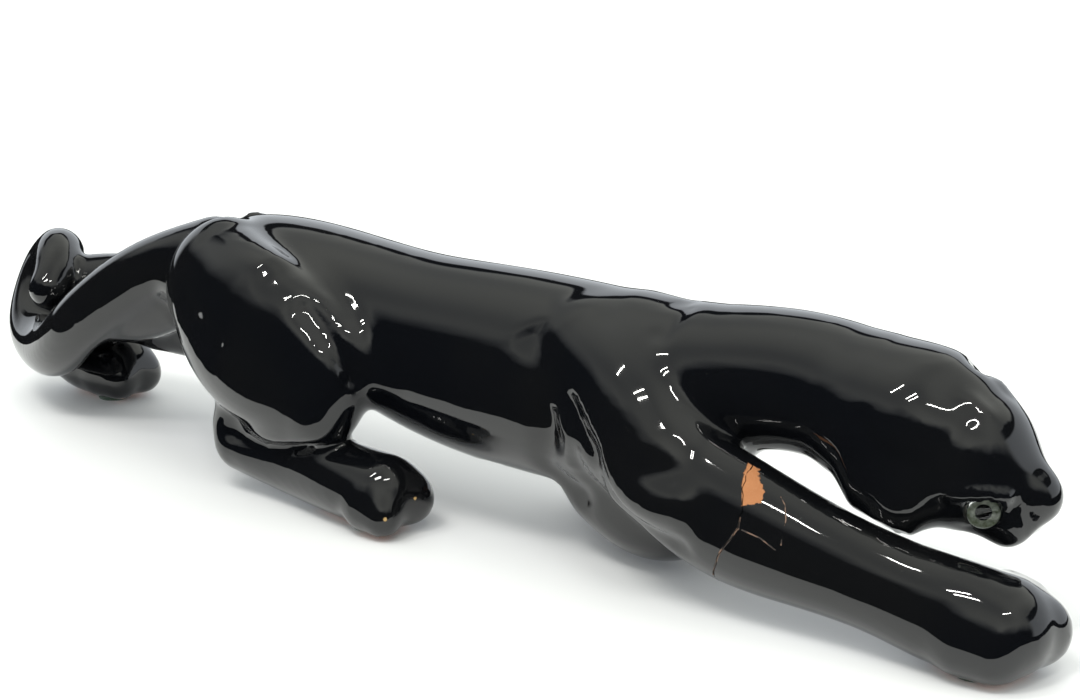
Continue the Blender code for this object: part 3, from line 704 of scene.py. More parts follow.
class Finish:
    """A material whose nodes are added one call at a time."""

    def __init__(self, name, **constants):
        self.material = bpy.data.materials.new(name)
        self.material.use_nodes = True
        self.tree = self.material.node_tree
        self.shader = self.tree.nodes["Principled BSDF"]
        self.set(**constants)

    def set(self, **values):
        for name, value in values.items():
            self.feed(self.shader.inputs[name.replace("_", " ")], value)

    def feed(self, socket, value):
        if isinstance(value, Link):
            self.tree.links.new(value.socket, socket)
        elif isinstance(value, tuple) and len(value) == 3 and len(socket.default_value) == 4:
            socket.default_value = (*value, 1.0)
        else:
            socket.default_value = value

    def node(self, kind, settings=None, *values, out=0, **named):
        """Adds a node: its settings first, then its inputs by their order or their name."""
        made = self.tree.nodes.new(kind)
        for name, value in (settings or {}).items():
            setattr(made, name, value)
        inputs = [socket for socket in made.inputs if socket.enabled]
        for socket, value in zip(inputs, values):
            self.feed(socket, value)
        for name, value in named.items():
            self.feed(made.inputs[name.replace("_", " ")], value)
        return Link(self, made.outputs[out])

    def here(self):
        return self.node("ShaderNodeTexCoord", out=3)

    def noise(self, scale, detail=2.0, rough=0.5, warp=0.0, place=None):
        """Noise whose features are about 1/scale metres across."""
        return self.node(
            "ShaderNodeTexNoise", None, Vector=place or self.here(), Scale=scale, Detail=detail,
            Roughness=rough, Distortion=warp,
        )

    def grains(self, scale):
        """How far each place is from the nearest of points strewn about 1/scale metres apart."""
        return self.node("ShaderNodeTexVoronoi", None, Vector=self.here(), Scale=scale)

    def mixed(self, share, a, b, kind="RGBA"):
        """Colour a, or vector a, where share is 0 and b where it is 1."""
        made = self.tree.nodes.new("ShaderNodeMix")
        made.data_type = kind
        first, out = {"RGBA": (6, 2), "VECTOR": (4, 1)}[kind]
        for socket, value in zip((made.inputs[0], *made.inputs[first : first + 2]), (share, a, b)):
            self.feed(socket, value)
        return Link(self, made.outputs[out])

    def marked(self, name):
        return self.node("ShaderNodeAttribute", {"attribute_name": name}, out=2)

    def relief(self, height, strength, distance, under=None):
        """A bump of that height over what lies under it."""
        more = {} if under is None else {"Normal": under}
        return self.node(
            "ShaderNodeBump", None, Strength=strength, Distance=distance, Height=height, **more
        )

    def vector(self, operation, *values, out=1, **named):
        return self.node("ShaderNodeVectorMath", {"operation": operation}, *values, out=out, **named)

    def beyond(self, way, at):
        """How many metres past a plane through at, facing way, the surface is."""
        way = np.asarray(way, float) / np.linalg.norm(way)
        return self.vector("DOT_PRODUCT", self.here(), tuple(way)) - float(way.dot(to_row(at)))

    def gap(self, start, end):
        """How many metres the surface is from the straight line between two points."""
        a, b = to_row(start), to_row(end)
        way = (b - a) / np.linalg.norm(b - a)
        offset = self.vector("SUBTRACT", self.here(), tuple(a), out=0)
        along = self.vector("DOT_PRODUCT", offset, tuple(way)).most(0.0).least(float(np.linalg.norm(b - a)))
        foot = self.vector("SCALE", tuple(way), out=0, Scale=along)
        return self.vector("DISTANCE", offset, foot)

    def line(self, points, width, jagged):
        """1 within about width metres of a line through the points, 0 elsewhere, with a jagged edge."""
        gap = functools.reduce(Link.least, [self.gap(*ends) for ends in zip(points, points[1:])])
        return 1.0 - (gap + jagged).step(0.5 * width, width)

    def lines(self, lines, jagged):
        """1 on any of the lines, each of which is its points and its width."""
        return functools.reduce(Link.most, [self.line(points, width, jagged) for points, width in lines])


def glaze_finish():
    """Mirror-bright black glaze over red clay.

    It pools and thins a little, holds pinholes and dust, shows the clay where it is broken, ground or
    unglazed, and has worn to ochre on the hind claws.
    """
    f = Finish("glaze_black", Metallic=0.0, IOR=1.5, Coat_Roughness=0.015, Coat_IOR=1.5)
    grit = f.noise(2400.0, 3.0, 0.6)
    blotch = f.noise(260.0, 4.0, 0.65)
    jag = (f.noise(900.0, 3.0, 0.7) - 0.5) * 0.0016
    past_chip = functools.reduce(Link.most, [f.beyond(way, at) for way, at in CHIP_SIDES])
    chip = 1.0 - (past_chip + jag).step(-0.0001, 0.0002)
    cracks = f.lines(CRACKS, jag * 0.35)
    claws = f.lines(CLAWS, jag * 0.5)
    bare = f.marked("bare").step(0.35, 0.65)
    clay = bare.most(chip)
    fleck = 1.0 - f.grains(420.0).step(0.03, 0.07)
    dust = fleck * f.noise(60.0, 2.0).step(0.52, 0.62)
    red = f.mixed(blotch, (0.36, 0.135, 0.045), (0.45, 0.185, 0.068))
    red = f.mixed(grit.step(0.55, 0.75) * 0.6, red, (0.55, 0.30, 0.16))
    pooled = f.noise(14.0, 3.0).step(0.35, 0.7)
    black = f.mixed(pooled, (0.0026, 0.0030, 0.0040), (0.0042, 0.0044, 0.0048))
    black = f.mixed(dust * 0.35, black, (0.11, 0.10, 0.085))
    black = f.mixed(claws, black, (0.42, 0.27, 0.10))
    split = f.noise(340.0, 2.0).step(0.42, 0.58)
    black = f.mixed(cracks, black, f.mixed(split, (0.045, 0.032, 0.026), (0.20, 0.12, 0.08)))
    shine = 1.0 - clay.most(cracks * 0.8).most(claws * 0.7)
    f.set(Base_Color=f.mixed(clay, black, red), Coat_Weight=shine * 0.35)
    f.set(Roughness=(f.noise(30.0, 3.0) * 0.03 + 0.025) + (1.0 - shine) * 0.75 + dust * 0.25)
    sway = f.relief(f.noise(38.0, 1.0, 0.4), 0.10, 0.0016)
    peel = f.relief(f.noise(420.0, 2.0, 0.5), 0.05, 0.00008, sway)
    holes = f.relief(dust, 0.25, 0.0002, peel)
    rough_clay = f.relief(grit + blotch, 0.6, 0.00035, holes)
    cut = f.relief(chip * -1.0 - cracks * 0.6, 0.9, 0.0005, holes)
    f.set(Normal=f.mixed(clay, cut, rough_clay, "VECTOR"))
    return f.material


def glass_finish(name, colour, rough):
    """Clear glass, faintly wavy, with a film of dust."""
    f = Finish(name, IOR=1.5, Transmission_Weight=1.0)
    film = f.noise(220.0, 3.0, 0.6)
    f.set(Base_Color=f.mixed(film, colour, tuple(0.9 * c for c in colour)), Roughness=film * 0.03 + rough)
    f.set(Normal=f.relief(f.noise(90.0, 1.0), 0.05, 0.0004))
    return f.material


def cement_finish():
    """Set plaster cement: pale, gritty and dull."""
    f = Finish("eye_cement", Metallic=0.0)
    grit = f.noise(1800.0, 4.0, 0.7)
    f.set(Base_Color=f.mixed(grit, (0.46, 0.43, 0.37), (0.66, 0.63, 0.57)), Roughness=grit * 0.2 + 0.75)
    f.set(Normal=f.relief(grit, 0.7, 0.0003))
    return f.material


def felt_finish():
    """Pressed wool: short crossing fibres, dull, with paler hairs and grey dust."""
    f = Finish("felt_green", Metallic=0.0, Sheen_Weight=0.35, Sheen_Roughness=0.6)
    hairs = f.noise(2600.0, 5.0, 0.75, 1.4)
    worn = f.noise(300.0, 2.0)
    colour = f.mixed(hairs.step(0.35, 0.7), (0.012, 0.035, 0.018), (0.045, 0.105, 0.055))
    f.set(Base_Color=f.mixed(worn.step(0.55, 0.8) * 0.35, colour, (0.16, 0.15, 0.13)))
    f.set(Roughness=hairs * 0.1 + 0.88)
    f.set(Normal=f.relief(hairs, 0.9, 0.0005))
    return f.material


def metal_finish(name, bright, dull, rough, scratch):
    """Metal with fine turning marks, clouded by tarnish in its hollows."""
    f = Finish(name, Metallic=1.0)
    cloud = f.noise(240.0, 4.0, 0.65)
    tarnish = cloud.step(0.42, 0.72)
    lines = f.noise(3200.0, 2.0, 0.6, 0.6)
    f.set(Base_Color=f.mixed(tarnish, bright, dull), Metallic=1.0 - tarnish * 0.25)
    f.set(Roughness=tarnish * 0.25 + lines * 0.1 + rough)
    f.set(Normal=f.relief(lines, scratch, 0.00012))
    return f.material


def moulded_finish(name, dark, light, rough, scale):
    """Moulded plastic or rubber: two near tones in streaks, a skin with faint orange peel, and dust."""
    f = Finish(name, Metallic=0.0)
    streaks = f.noise(scale, 4.0, 0.6, 2.2)
    dust = f.noise(700.0, 3.0, 0.7).step(0.55, 0.75)
    colour = f.mixed(streaks.step(0.35, 0.7), dark, light)
    f.set(Base_Color=f.mixed(dust * 0.12, colour, (0.30, 0.28, 0.25)))
    f.set(Roughness=dust * 0.2 + streaks * 0.08 + rough)
    f.set(Normal=f.relief(f.noise(900.0, 2.0), 0.12, 0.0002))
    return f.material


def eye_finish():
    """The painted eye under its glass: a black pupil, a speckled grey-green ring and a silvered edge.

    The mark reach is 0 in its middle and 1 at its edge.
    """
    f = Finish("eye_painted", Metallic=0.0, Specular_IOR_Level=0.05)
    reach = f.marked("reach")
    speck = f.noise(2600.0, 3.0, 0.7)
    cloud = f.noise(700.0, 3.0, 0.6)
    ring = f.mixed(cloud.step(0.3, 0.7), (0.36, 0.40, 0.31), (0.78, 0.82, 0.70))
    ring = f.mixed(speck.step(0.52, 0.68) * 0.6, ring, (0.10, 0.13, 0.07))
    inner = reach.step(0.50, 0.72)
    colour = f.mixed(inner * 0.4, ring, (0.20, 0.26, 0.10))
    pupil = (reach + (cloud - 0.5) * 0.05).step(0.40, 0.45)
    colour = f.mixed(pupil, (0.002, 0.002, 0.002), colour)
    rim = (reach + (cloud - 0.5) * 0.05).step(0.80, 0.86)
    f.set(Base_Color=f.mixed(rim, colour, (0.55, 0.60, 0.55)), Roughness=rim * 0.1 + 0.28, Metallic=rim * 0.6)
    f.set(Normal=f.relief(cloud, 0.2, 0.0001))
    return f.material


def finish_table():
    """Each material slot's finish."""
    return {
        "glaze": glaze_finish(),
        "glass": glass_finish("clear_glass", (0.96, 0.985, 0.97), 0.0),
        "iris": eye_finish(),
        "cement": cement_finish(),
        "felt": felt_finish(),
        "steel": metal_finish("zinc_plated_steel", (0.62, 0.64, 0.67), (0.30, 0.30, 0.30), 0.28, 0.25),
        "brass": metal_finish("aged_brass", (0.72, 0.50, 0.19), (0.30, 0.19, 0.08), 0.24, 0.25),
        "phenolic": moulded_finish(
            "brown_phenolic", (0.018, 0.008, 0.005), (0.055, 0.024, 0.013), 0.22, 150.0
        ),
        "fibre": moulded_finish("red_fibre", (0.17, 0.045, 0.028), (0.27, 0.085, 0.05), 0.68, 900.0),
        "rubber": moulded_finish("black_rubber", (0.012, 0.012, 0.012), (0.03, 0.03, 0.028), 0.62, 300.0),
        "tungsten": metal_finish("tungsten_wire", (0.36, 0.36, 0.38), (0.2, 0.2, 0.21), 0.35, 0.3),
        "black_glass": moulded_finish(
            "black_glass", (0.006, 0.006, 0.008), (0.012, 0.012, 0.014), 0.06, 200.0
        ),
        "solder": metal_finish("dull_solder", (0.58, 0.58, 0.57), (0.35, 0.35, 0.34), 0.38, 0.6),
    }


def soft_corners(profile, size, steps=4):
    """A closed outline whose every corner off the axis is eased by a quadratic curve.

    The curve starts size before the corner, or two fifths of a short side, and ends as far after it.
    """
    points = np.asarray(profile, float)
    before, after = np.roll(points, 1, 0) - points, np.roll(points, -1, 0) - points
    t = np.linspace(0, 1, steps)[:, None]
    eased = []
    for corner, to_last, to_next in zip(points, before, after):
        if corner[1] < 1e-6:
            eased.append(corner[None])
            continue
        sides = [(v, max(np.linalg.norm(v), 1e-9)) for v in (to_last, to_next)]
        start, end = [corner + v * min(size, 0.4 * length) / length for v, length in sides]
        eased.append(start * (1 - t) ** 2 + 2 * corner * t * (1 - t) + end * t**2)
    return np.concatenate(eased)


def turned(profile, way=FORWARD, at=LAMP, sides=96, ease=0.25, shape=None):
    """A closed outline of distances along an axis and radii, carried once round the axis through at.

    shape may change each radius by its angle and place. Gives points and faces.
    """
    outline = soft_corners(profile, ease) if ease else np.asarray(profile, float)
    turn = np.linspace(0, 2 * np.pi, sides, endpoint=False)
    along, radius = np.broadcast_arrays(outline[:, :1], outline[:, 1:] + 0 * turn)
    if shape is not None:
        along, radius = shape(along, radius, turn[None])
    way = np.asarray(way, float) / np.linalg.norm(way)
    across = np.cross(way, UP if abs(way[2]) < 0.9 else FORWARD)
    across /= np.linalg.norm(across)
    third = np.cross(way, across)
    ring = np.cos(turn)[:, None] * across + np.sin(turn)[:, None] * third
    points = np.asarray(at) + along[..., None] * way + radius[..., None] * ring[None]
    rows = len(outline)
    i, j = np.arange(rows)[:, None], np.arange(sides)[None]
    k, here, past = (j + 1) % sides, i * sides, (i + 1) % rows * sides
    faces = np.stack(np.broadcast_arrays(here + j, here + k, past + k, past + j), -1)
    return points.reshape(-1, 3), faces.reshape(-1, 4)


def box_of(low, high):
    """A box's eight corners and six faces."""
    corners = np.array([[x, y, z] for x in (0, 1) for y in (0, 1) for z in (0, 1)])
    faces = [(0, 1, 3, 2), (4, 6, 7, 5), (0, 4, 5, 1), (2, 3, 7, 6), (0, 2, 6, 4), (1, 5, 7, 3)]
    return np.asarray(low) + corners * (np.asarray(high, float) - low), np.asarray(faces)


def closed_up(obj):
    """Merges the points that meet on an axis, drops faces with no area and turns every face outwards."""
    bm = bmesh.new()
    bm.from_mesh(obj.data)
    bmesh.ops.remove_doubles(bm, verts=bm.verts, dist=1e-6)
    bmesh.ops.dissolve_degenerate(bm, edges=bm.edges, dist=1e-7)
    bmesh.ops.recalc_face_normals(bm, faces=bm.faces)
    bm.to_mesh(obj.data)
    bm.free()
    return obj


def stand_for(obj, node, body, slot, angle=32):
    """Finishes a piece: smooth shading with crisp edges, its finish and its body; hides the node it stands
    for.
    """
    obj.data.shade_smooth()
    obj.data.set_sharp_from_angle(angle=math.radians(angle))
    obj.data.materials.clear()
    obj.data.materials.append(FINISHES[slot])
    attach(obj, body)
    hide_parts(node)
    return obj


def part(node, shape, body, slot, *cuts, angle=32):
    """A whole piece: its shape, less each of the cuts."""
    obj = closed_up(object_of("fine_" + node, *shape))
    for tool in cuts:
        cut_with(obj, *tool)
    return stand_for(obj, node, body, slot, angle)


def rod_of(low, high, radius, way, at):
    return turned([(low, 0), (low, radius), (high, radius), (high, 0)], way, at, 64, 0)


def helix(pitch, depth, first, last):
    """A thread: the radius swings by depth with the place along the axis in pitches, less the turn.

    It dies away over half a pitch before first and last.
    """

    def shape(along, radius, turn):
        wave = np.cos(2 * np.pi * (along / pitch) - turn)
        inside = np.clip(np.minimum(along - first, last - along) / (0.5 * pitch), 0, 1)
        return along, radius + depth * wave * inside

    return shape


def hexagon(flats):
    """Six flats: the radius is at most half their distance over the cosine of the angle from the nearest."""

    def shape(along, radius, turn):
        off = (turn + np.pi / 6) % (np.pi / 3) - np.pi / 6
        return along, np.minimum(radius, 0.5 * flats / np.cos(off))

    return shape


def finely(profile, steps):
    """The outline with its longest side cut into many even steps, so that a thread can follow it."""
    points = np.asarray(profile, float)
    sides = np.linalg.norm(np.roll(points, -1, 0) - points, axis=1)
    longest = int(sides.argmax())
    start, end = points[longest], points[(longest + 1) % len(points)]
    between = start + (end - start) * np.linspace(0, 1, steps + 1)[1:-1, None]
    return np.insert(points, [longest + 1] * len(between), between, axis=0)


def make_casting():
    """The casting from its field, with the break cut crisply and its bare clay marked."""
    hollow = melted(HOLLOW)
    obj = object_of("fine_casting", *skin_of(casting_field()))
    cut_with(obj, *break_slab(0.0, BREAK_SPARE + BREAK_PAST))
    clay_shown(obj, hollow)
    return stand_for(obj, "panther_body", "lamp", "glaze", 50)


def make_foreleg():
    """The glued foreleg from its field, with its end cut to the break."""
    obj = object_of("fine_foreleg", *skin_of(foreleg_field()))
    cut_with(obj, *break_slab(-BREAK_SPARE - BREAK_PAST, BREAK_GAP))
    clay_shown(obj, None)
    return stand_for(obj, "right_foreleg", "lamp", "glaze", 50)


def dome_outline():
    """An eye glass's outline: a flat back, then a quarter ellipse from its edge to its crown."""
    t = np.linspace(0, np.pi / 2, EYE_ROWS)
    curve = np.stack([EYE_RISE * np.sin(t) - EYE_EDGE, EYE_R * np.cos(t)], -1)
    back = -2 * EYE_EDGE
    return np.concatenate([[(back, 0), (back, EYE_R)], curve[:-1], [(EYE_RISE - EYE_EDGE, 0)]])


def make_eyes():
    """Each eye's glass, the painted disc behind it and the cement it is bedded in."""
    for side, at in EYE_AT.items():
        way = EYE_WAY[side]
        part(side + "_eye_glass", turned(dome_outline(), way, at, 96, 0), "lamp", "glass", angle=60)
        rows = [(-2.3, 0.0), (-2.3, EYE_R - 0.1), (-1.7, EYE_R - 0.1)]
        rows += [(-1.5, (EYE_R - 0.25) * s) for s in np.linspace(1, 0, EYE_ROWS)]
        iris = part(side + "_eye_iris", turned(rows, way, at, 96, 0), "lamp", "iris")
        offset = places(iris) - np.asarray(at)
        axis = np.asarray(way) / np.linalg.norm(way)
        across = offset - (offset @ axis)[:, None] * axis
        mark(iris, "reach", np.linalg.norm(across, axis=1) / EYE_R)
        bed = [(-8.7, 0), (-8.7, EYE_R), (-2.6, EYE_R), (-2.6, 0)]
        part(side + "_eye_cement", turned(bed, way, at, 64, 0.4), "lamp", "cement")


def felt_pad(name, x, y):
    """A disc of felt with a pinched edge, whose rim swells by crossed waves, as cut cloth's does."""

    def fuzz(along, radius, turn):
        wave = np.sin(7 * turn + x) + np.sin(17 * turn + 2.3 * y) + np.sin(31 * turn)
        return along, radius * (1 + 0.006 * wave * (radius > 5))

    rows = [(0.0, r) for r in (0.0, 2.0, 4.0, 6.0, 6.7)] + [(0.35, 6.95), (0.9, PAD_R), (1.35, 6.85)]
    rows += [(PAD_HIGH, r) for r in (6.4, 4.5, 2.0, 0.0)]
    part(name + "_felt_pad", turned(rows, UP, (x, y, 0), 120, 0, fuzz), "lamp", "felt", angle=60)


def make_bracket():
    """A strip of sheet steel bent to an L: its outline carried across its width, with two holes."""
    centre, inner, outer = (6.5, 41.3), 1.5, 3.0  # the bend's axis and radii
    t = np.linspace(0, np.pi / 2, 9)
    bends = [np.stack([centre[0] + r * np.sin(t), centre[1] - r * np.cos(t)], -1) for r in (inner, outer)]
    outline = np.concatenate([
        [(-13.5, 38.3)], bends[1], [(9.5, 77.0), (8.0, 77.0)], bends[0][::-1], [(-13.5, 39.8)],
    ])
    size = len(outline)
    points = np.concatenate([np.insert(outline, 1, y, axis=1) for y in (-9.0, 9.0)])
    i = np.arange(size)
    k = (i + 1) % size
    faces = [i[::-1].tolist(), (size + i).tolist(), *np.stack([i, k, size + k, size + i], -1).tolist()]
    obj = closed_up(object_of("fine_lamp_bracket", points, faces))
    cut_with(obj, *rod_of(30, 45, SCREW_HOLE, UP, (SCREW_X, 0, 0)))
    cut_with(obj, *rod_of(0, 20, 5.1, FORWARD, LAMP))
    edge = obj.modifiers.new("edge", "BEVEL")
    edge.width, edge.segments = 0.25 * MM, 2
    edge.limit_method, edge.angle_limit = "ANGLE", math.radians(50)
    settled(obj)
    return stand_for(obj, "lamp_bracket", "lamp", "steel")


def make_screw():
    """The bracket's screw, up through the casting's floor, with its washer below and its nut above."""
    head, at = SPOT_Z - 3.6, (SCREW_X, 0, 0)
    rows = [(head, 0), (head, 2.2), (head + 0.35, 3.3), (head + 1.0, 3.9), (head + 2.0, 3.9)]
    rows += [(head + 2.0, 1.85), (46.4, 1.85), (47.0, 1.4), (47.0, 0)]
    thread = turned(finely(rows, 150), UP, at, 64, 0, helix(1.0, 0.15, head + 4, 46.6))
    slot = box_of((SCREW_X - 5, -0.5, head - 1), (SCREW_X + 5, 0.5, head + 1.0))
    part("bracket_screw", thread, "lamp", "steel", slot)
    washer = [(32.7, 2.4), (32.7, 5.8), (33.7, 5.8), (33.7, 2.4)]
    part("bracket_washer", turned(washer, UP, at, 72), "lamp", "fibre")
    nut("bracket_nut", "steel", (40.1, 43.3), 7.0, 2.3, UP, at)


def nut(node, slot, reach, flats, bore, way, at):
    """A hexagonal nut whose corners are turned off at both ends."""
    low, high = reach
    corner, seat = flats / math.sqrt(3), 0.47 * flats
    rows = [(low, bore + 0.3), (low, seat), (low + 0.5 * (corner - seat), corner)]
    rows += [(high - 0.5 * (corner - seat), corner), (high, seat), (high, bore + 0.3)]
    rows += [(high - 0.3, bore), (low + 0.3, bore)]
    part(node, turned(rows, way, at, 96, 0, hexagon(flats)), "lamp", slot)


def make_socket():
    """The nipple, locknut, cap, body, terminal screws, screw shell, insulator and contact."""
    nipple = finely([(-1.0, 3.4), (-0.6, 4.7), (14.6, 4.7), (15.0, 3.4)], 160)
    thread = helix(0.94, 0.12, -0.7, 14.8)
    part("lamp_nipple", turned(nipple, sides=72, ease=0, shape=thread), "lamp", "brass")
    nut("nipple_locknut", "brass", (3.4, 7.7), 14.0, 5.1, FORWARD, LAMP)
    cap = [(9.8, 5.1), (9.8, 11.9), (10.6, 13.4), (12.4, 13.9), (15.2, 13.9), (15.6, 13.5), (16.4, 13.5)]
    cap += [(16.8, 13.9), (18.4, 13.9), (18.8, 13.5), (19.4, 13.9), (20.0, 13.8), (20.0, 13.0), (11.6, 13.0)]
    cap += [(10.9, 12.2), (10.9, 5.1)]
    part("socket_cap", turned(cap, ease=0.2), "lamp", "brass", angle=40)
    body = [(11.3, 6.2), (11.3, 12.0), (12.0, 12.6), (20.3, 12.6), (20.3, 13.9), (30.0, 13.9), (30.5, 13.4)]
    body += [(31.5, 13.4), (32.0, 13.9), (44.0, 13.9), (44.5, 13.4), (45.2, 13.4), (45.7, 13.9), (46.8, 13.7)]
    body += [(48, 12.6), (48, 8.2), (47.5, 7.7), (29.0, 7.7), (29.0, 1.9), (27.7, 1.9), (27.7, 0), (21.5, 0)]
    body += [(21.5, 6.2)]
    holes = [rod_of(40, LAMP[2] - 8.9, 1.76, UP, (SPINDLE_X, 0, 0))]
    for side, way in (("right", -1), ("left", 1)):
        out, at = (0, way, 0), (SPINDLE_X, 0, LAMP[2] + 3)
        holes += [rod_of(8.0, 20, 1.8, out, at), rod_of(12.8, 20, 3.2, out, at)]
        head = [(8.4, 0), (8.4, 1.5), (13.1, 1.5), (13.1, 2.7), (14.3, 2.7), (14.9, 2.2), (15.1, 1.4)]
        head += [(15.1, 0)]
        low = (SPINDLE_X - 4, way * 15.4 - 0.9, LAMP[2] + 2.6)
        slot = box_of(low, np.add(low, (8.0, 1.8, 0.8)))
        part(side + "_terminal_screw", turned(head, out, at, 64, 0.15), "lamp", "brass", slot)
    part("socket_body", turned(body, ease=0.25, sides=120), "lamp", "phenolic", *holes)
    shell = [(31.3, 3.0), (30.5, 3.0), (30.5, 7.1), (46.4, 7.1), (46.4, 6.6), (31.3, 6.6)]
    shell = finely(finely(shell, 96), 96)
    thread = helix(THREAD, 0.22, 32, 45.8)
    part("socket_screw_shell", turned(shell, ease=0, shape=thread), "lamp", "brass")
    part("socket_insulator", turned([(29.3, 1.8), (29.3, 7.3), (30.2, 7.3), (30.2, 1.8)]), "lamp", "fibre")
    contact = [(28.0, 0), (28.0, 1.5), (30.5, 1.5), (30.5, 2.2), (31.0, 2.2), (31.3, 1.2), (31.3, 0)]
    part("socket_contact", turned(contact, sides=48, ease=0.15), "lamp", "brass")


def make_switch():
    """The spindle and its knob: ten flutes round the knob's side, a hollowed face and a cut pointer."""
    at = (SPINDLE_X, 0, 0)
    spindle = [(46.2, 0), (46.2, 1.7), (58.8, 1.7), (58.8, 0)]
    part("switch_spindle", turned(spindle, UP, at, 48, 0.2), "switch", "steel")

    def flutes(along, radius, turn):
        return along, radius + 0.45 * np.cos(10 * turn) * np.clip((radius - 3.0) / 2.0, 0, 1)

    knob = [(44.1, 0), (43.8, 2.5), (43.5, 4.6), (43.7, 5.6), (44.3, 6.2), (51.9, 6.3), (52.5, 5.7)]
    knob += [(52.5, 2.0), (45.9, 2.0), (45.9, 0)]
    pointer = box_of((SPINDLE_X + 1.5, -0.5, 42), (SPINDLE_X + 9, 0.5, 44.5))
    part("switch_knob", turned(knob, UP, at, 160, 0.3, flutes), "switch", "phenolic", pointer)


def make_bulb():
    """The bulb: contact, insulator, threaded base, glass, stem and the coiled wire on its leads."""
    tip = [(31.6, 0), (31.7, 0.8), (31.95, 1.5), (32.3, 2.0), (32.9, 2.0), (32.9, 0)]
    part("bulb_contact", turned(tip, sides=64, ease=0.1), "bulb", "solder", angle=60)
    black = [(33.2, 0), (33.2, 2.2), (34.4, 4.6), (36.4, 4.6), (36.4, 0)]
    part("bulb_insulator", turned(black, sides=72, ease=0.3), "bulb", "black_glass", angle=60)
    base = [(50.0, 5.0), (34.6, 5.0), (34.6, 5.3), (35.0, 5.72), (46.0, 5.72), (46.6, 5.95), (50.0, 5.95)]
    base = finely(finely(base, 90), 90)
    part("bulb_base", turned(base, ease=0, shape=helix(THREAD, 0.2, 35.2, 46.0)), "bulb", "brass")
    swell = curve([(50.4, 4.6, 0), (57, 9.2, 0), (67, 11, 0), (79, 7.6, 0), (86.5, 2.6, 0)], 50)
    outer = [(39.0, 4.6)] + [(a, r) for a, r, _ in swell] + [(87.7, 1.0), (88.0, 0)]
    inner = [(a - 0.4 * (a > 67), r - 0.8) for a, r, _ in swell[::-1] if r > 1.0]
    glass = outer + [(87.2, 0)] + inner + [(39.0, 3.8)]
    part("bulb_glass", turned(glass, sides=120, ease=0), "bulb", "glass", angle=70)
    stem = [(39.6, 0), (39.6, 3.4), (44.0, 3.2), (48.0, 2.2), (50.0, 2.0), (53.4, 1.9), (54.0, 1.4)]
    part("bulb_stem", turned(stem + [(54.0, 0)], sides=72, ease=0.4), "bulb", "glass", angle=60)
    turn = np.linspace(0, 2 * np.pi * COILS, 30 * COILS + 1)
    wind = COIL_R * np.sin(turn), COIL_R * np.cos(turn)
    coil = np.stack([67.0 + wind[0], COIL_HALF * (2 * turn / turn[-1] - 1), wind[1]], -1)
    lead = curve([(54.2, -1.4, 0), (58, -2.0, 0), (64, -4.6, 0), (66.9, -4.6, 0.5)], 24)
    path = np.concatenate([lead, coil, lead[::-1] * (1, -1, 1)]) + (0, 0, LAMP[2])
    part("bulb_filament", wire(path, 0.13, 8), "bulb", "tungsten", angle=80)


def wire(path, radius, around):
    """A round section carried along a path without twist, closed by a point at each end."""
    _, side, other = untwisted(path, (0.0, 0.0, 1.0))
    turn = np.linspace(0, 2 * np.pi, around, endpoint=False)[None, :, None]
    rings = path[:, None] + radius * (np.cos(turn) * side[:, None] + np.sin(turn) * other[:, None])
    return capped(rings, path[0], path[-1])


def make_grommet():
    """The rubber bush in the cord's hole, whose groove grips the casting's wall."""
    rows = [(40.0, 3.2), (40.0, 6.6), (40.4, 7.2), (41.2, 7.4), (41.7, 7.4), (41.7, 4.7), (47.8, 4.7)]
    rows += [(47.8, 7.4), (49.0, 7.2), (49.4, 6.4), (49.4, 3.2)]
    part("cord_grommet", turned(rows, UP, (GROMMET_X, 0, 0), 96, 0.35), "lamp", "rubber", angle=60)


def tube_light(name, at):
    """A tube light over the table.

    It faces the middle of the table top, and its length is level and turned TUBE_TURN from X.
    """
    data = bpy.data.lights.new(name, "AREA")
    data.shape, data.energy, data.color = "RECTANGLE", TUBE_POWER, (1.0, 0.99, 0.95)
    data.size, data.size_y = TUBE_SIZE
    lamp = bpy.data.objects.new(name, data)
    bpy.context.scene.collection.objects.link(lamp)
    turn = math.radians(TUBE_TURN)
    length = Vector((math.cos(turn), math.sin(turn), 0.0))
    back = Vector(at).normalized()
    width = length.cross(back).normalized()
    axes = (width, back.cross(width), back)
    lamp.matrix_world = Matrix.Translation(at) @ Matrix(axes).transposed().to_4x4()


class Sky(Finish):
    """The world's light, added to one node at a time."""

    def __init__(self, world):
        world.use_nodes = True
        self.tree = world.node_tree
        self.shader = self.tree.nodes["Background"]


def floor_sheet(name, low, high, finish):
    """A sheet of the floor, whose top is at high."""
    sheet = object_of(name, *box_of(low, high))
    sheet.data.materials.append(finish)
    return sheet


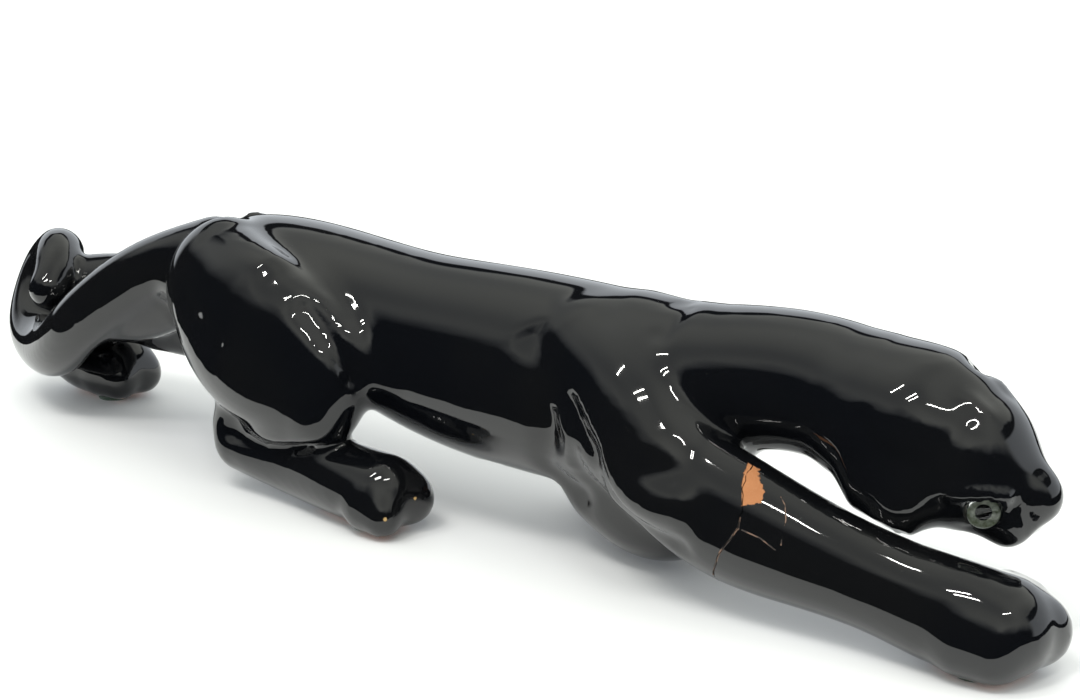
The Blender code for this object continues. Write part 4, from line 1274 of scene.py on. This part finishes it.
def make_sky():
    """A pale sky for all but mirrors and clear glass.

    Those see a bright wall low behind, a dark strip over it, a dim ceiling, and a dark room in front.
    """
    world = bpy.data.worlds.new("studio")
    sky = Sky(world)
    way = sky.node("ShaderNodeTexCoord", out=0)
    back, up = [sky.node("ShaderNodeSeparateXYZ", None, way, out=axis) for axis in (1, 2)]
    behind = back.step(0.0, 0.2)
    uneven = sky.noise(1.7, 2.0, 0.5, place=way)
    shade = sky.noise(0.9, 1.0, 0.5, place=way)
    up_there = up + (uneven - 0.5) * 0.35
    ceiling = (up_there + back * 0.18).step(0.26, 0.50)
    strip = behind * (1.0 - up_there.step(0.56, 0.60))
    overhead = ceiling * (1.0 - strip) * shade
    wall = behind * (1.0 - up.step(0.46, 0.50)) * up.step(-0.02, 0.0) * WALL
    mirrored = (overhead * CEILING + wall).most(DARK)
    sky.set(Color=sky.mixed((overhead * 2.0).least(1.0), (0.90, 0.95, 1.0), (0.98, 1.0, 0.93)))
    kinds = ("Is Glossy Ray", "Is Transmission Ray")
    sharp = functools.reduce(Link.most, [sky.node("ShaderNodeLightPath", out=kind) for kind in kinds])
    sky.set(Strength=SKY * (1.0 - sharp) + mirrored * sharp)
    return world


def make_camera():
    data = bpy.data.cameras.new("camera")
    data.lens, data.sensor_width = LENS, SENSOR
    data.clip_start, data.clip_end = 0.02, 60.0
    camera = bpy.data.objects.new("camera", data)
    bpy.context.scene.collection.objects.link(camera)
    camera.location = CAMERA_AT
    camera.rotation_euler = Vector(CAMERA_WAY).to_track_quat("-Z", "Y").to_euler()
    return camera


def make_stage():
    """A pale table top on a wide pale floor that mirrors don't see, the sky, tube lights and the camera."""
    scene = bpy.context.scene
    scene.view_settings.view_transform = "Standard"
    pale = Finish("floor_paper", Base_Color=(0.90, 0.905, 0.91), Roughness=0.55)
    pale.set(Normal=pale.relief(pale.noise(900.0, 2.0), 0.05, 0.0002))
    floor_sheet("table_top", TABLE_LOW, TABLE_HIGH, pale.material)
    low, high = (-FLOOR_REACH, -FLOOR_REACH, -30), (FLOOR_REACH, FLOOR_REACH, FLOOR_DROP)
    around = floor_sheet("floor", low, high, pale.material)
    around.visible_glossy = False
    around.visible_transmission = False
    scene.world = make_sky()
    for index, at in enumerate(TUBES):
        tube_light(f"tube_{index}", at)
    scene.camera = make_camera()


FINISHES = finish_table()
make_stage()
make_casting()
make_foreleg()
make_eyes()
for pad, (x, y) in PADS.items():
    felt_pad(pad, x, y)
make_bracket()
make_screw()
make_socket()
make_switch()
make_bulb()
make_grommet()
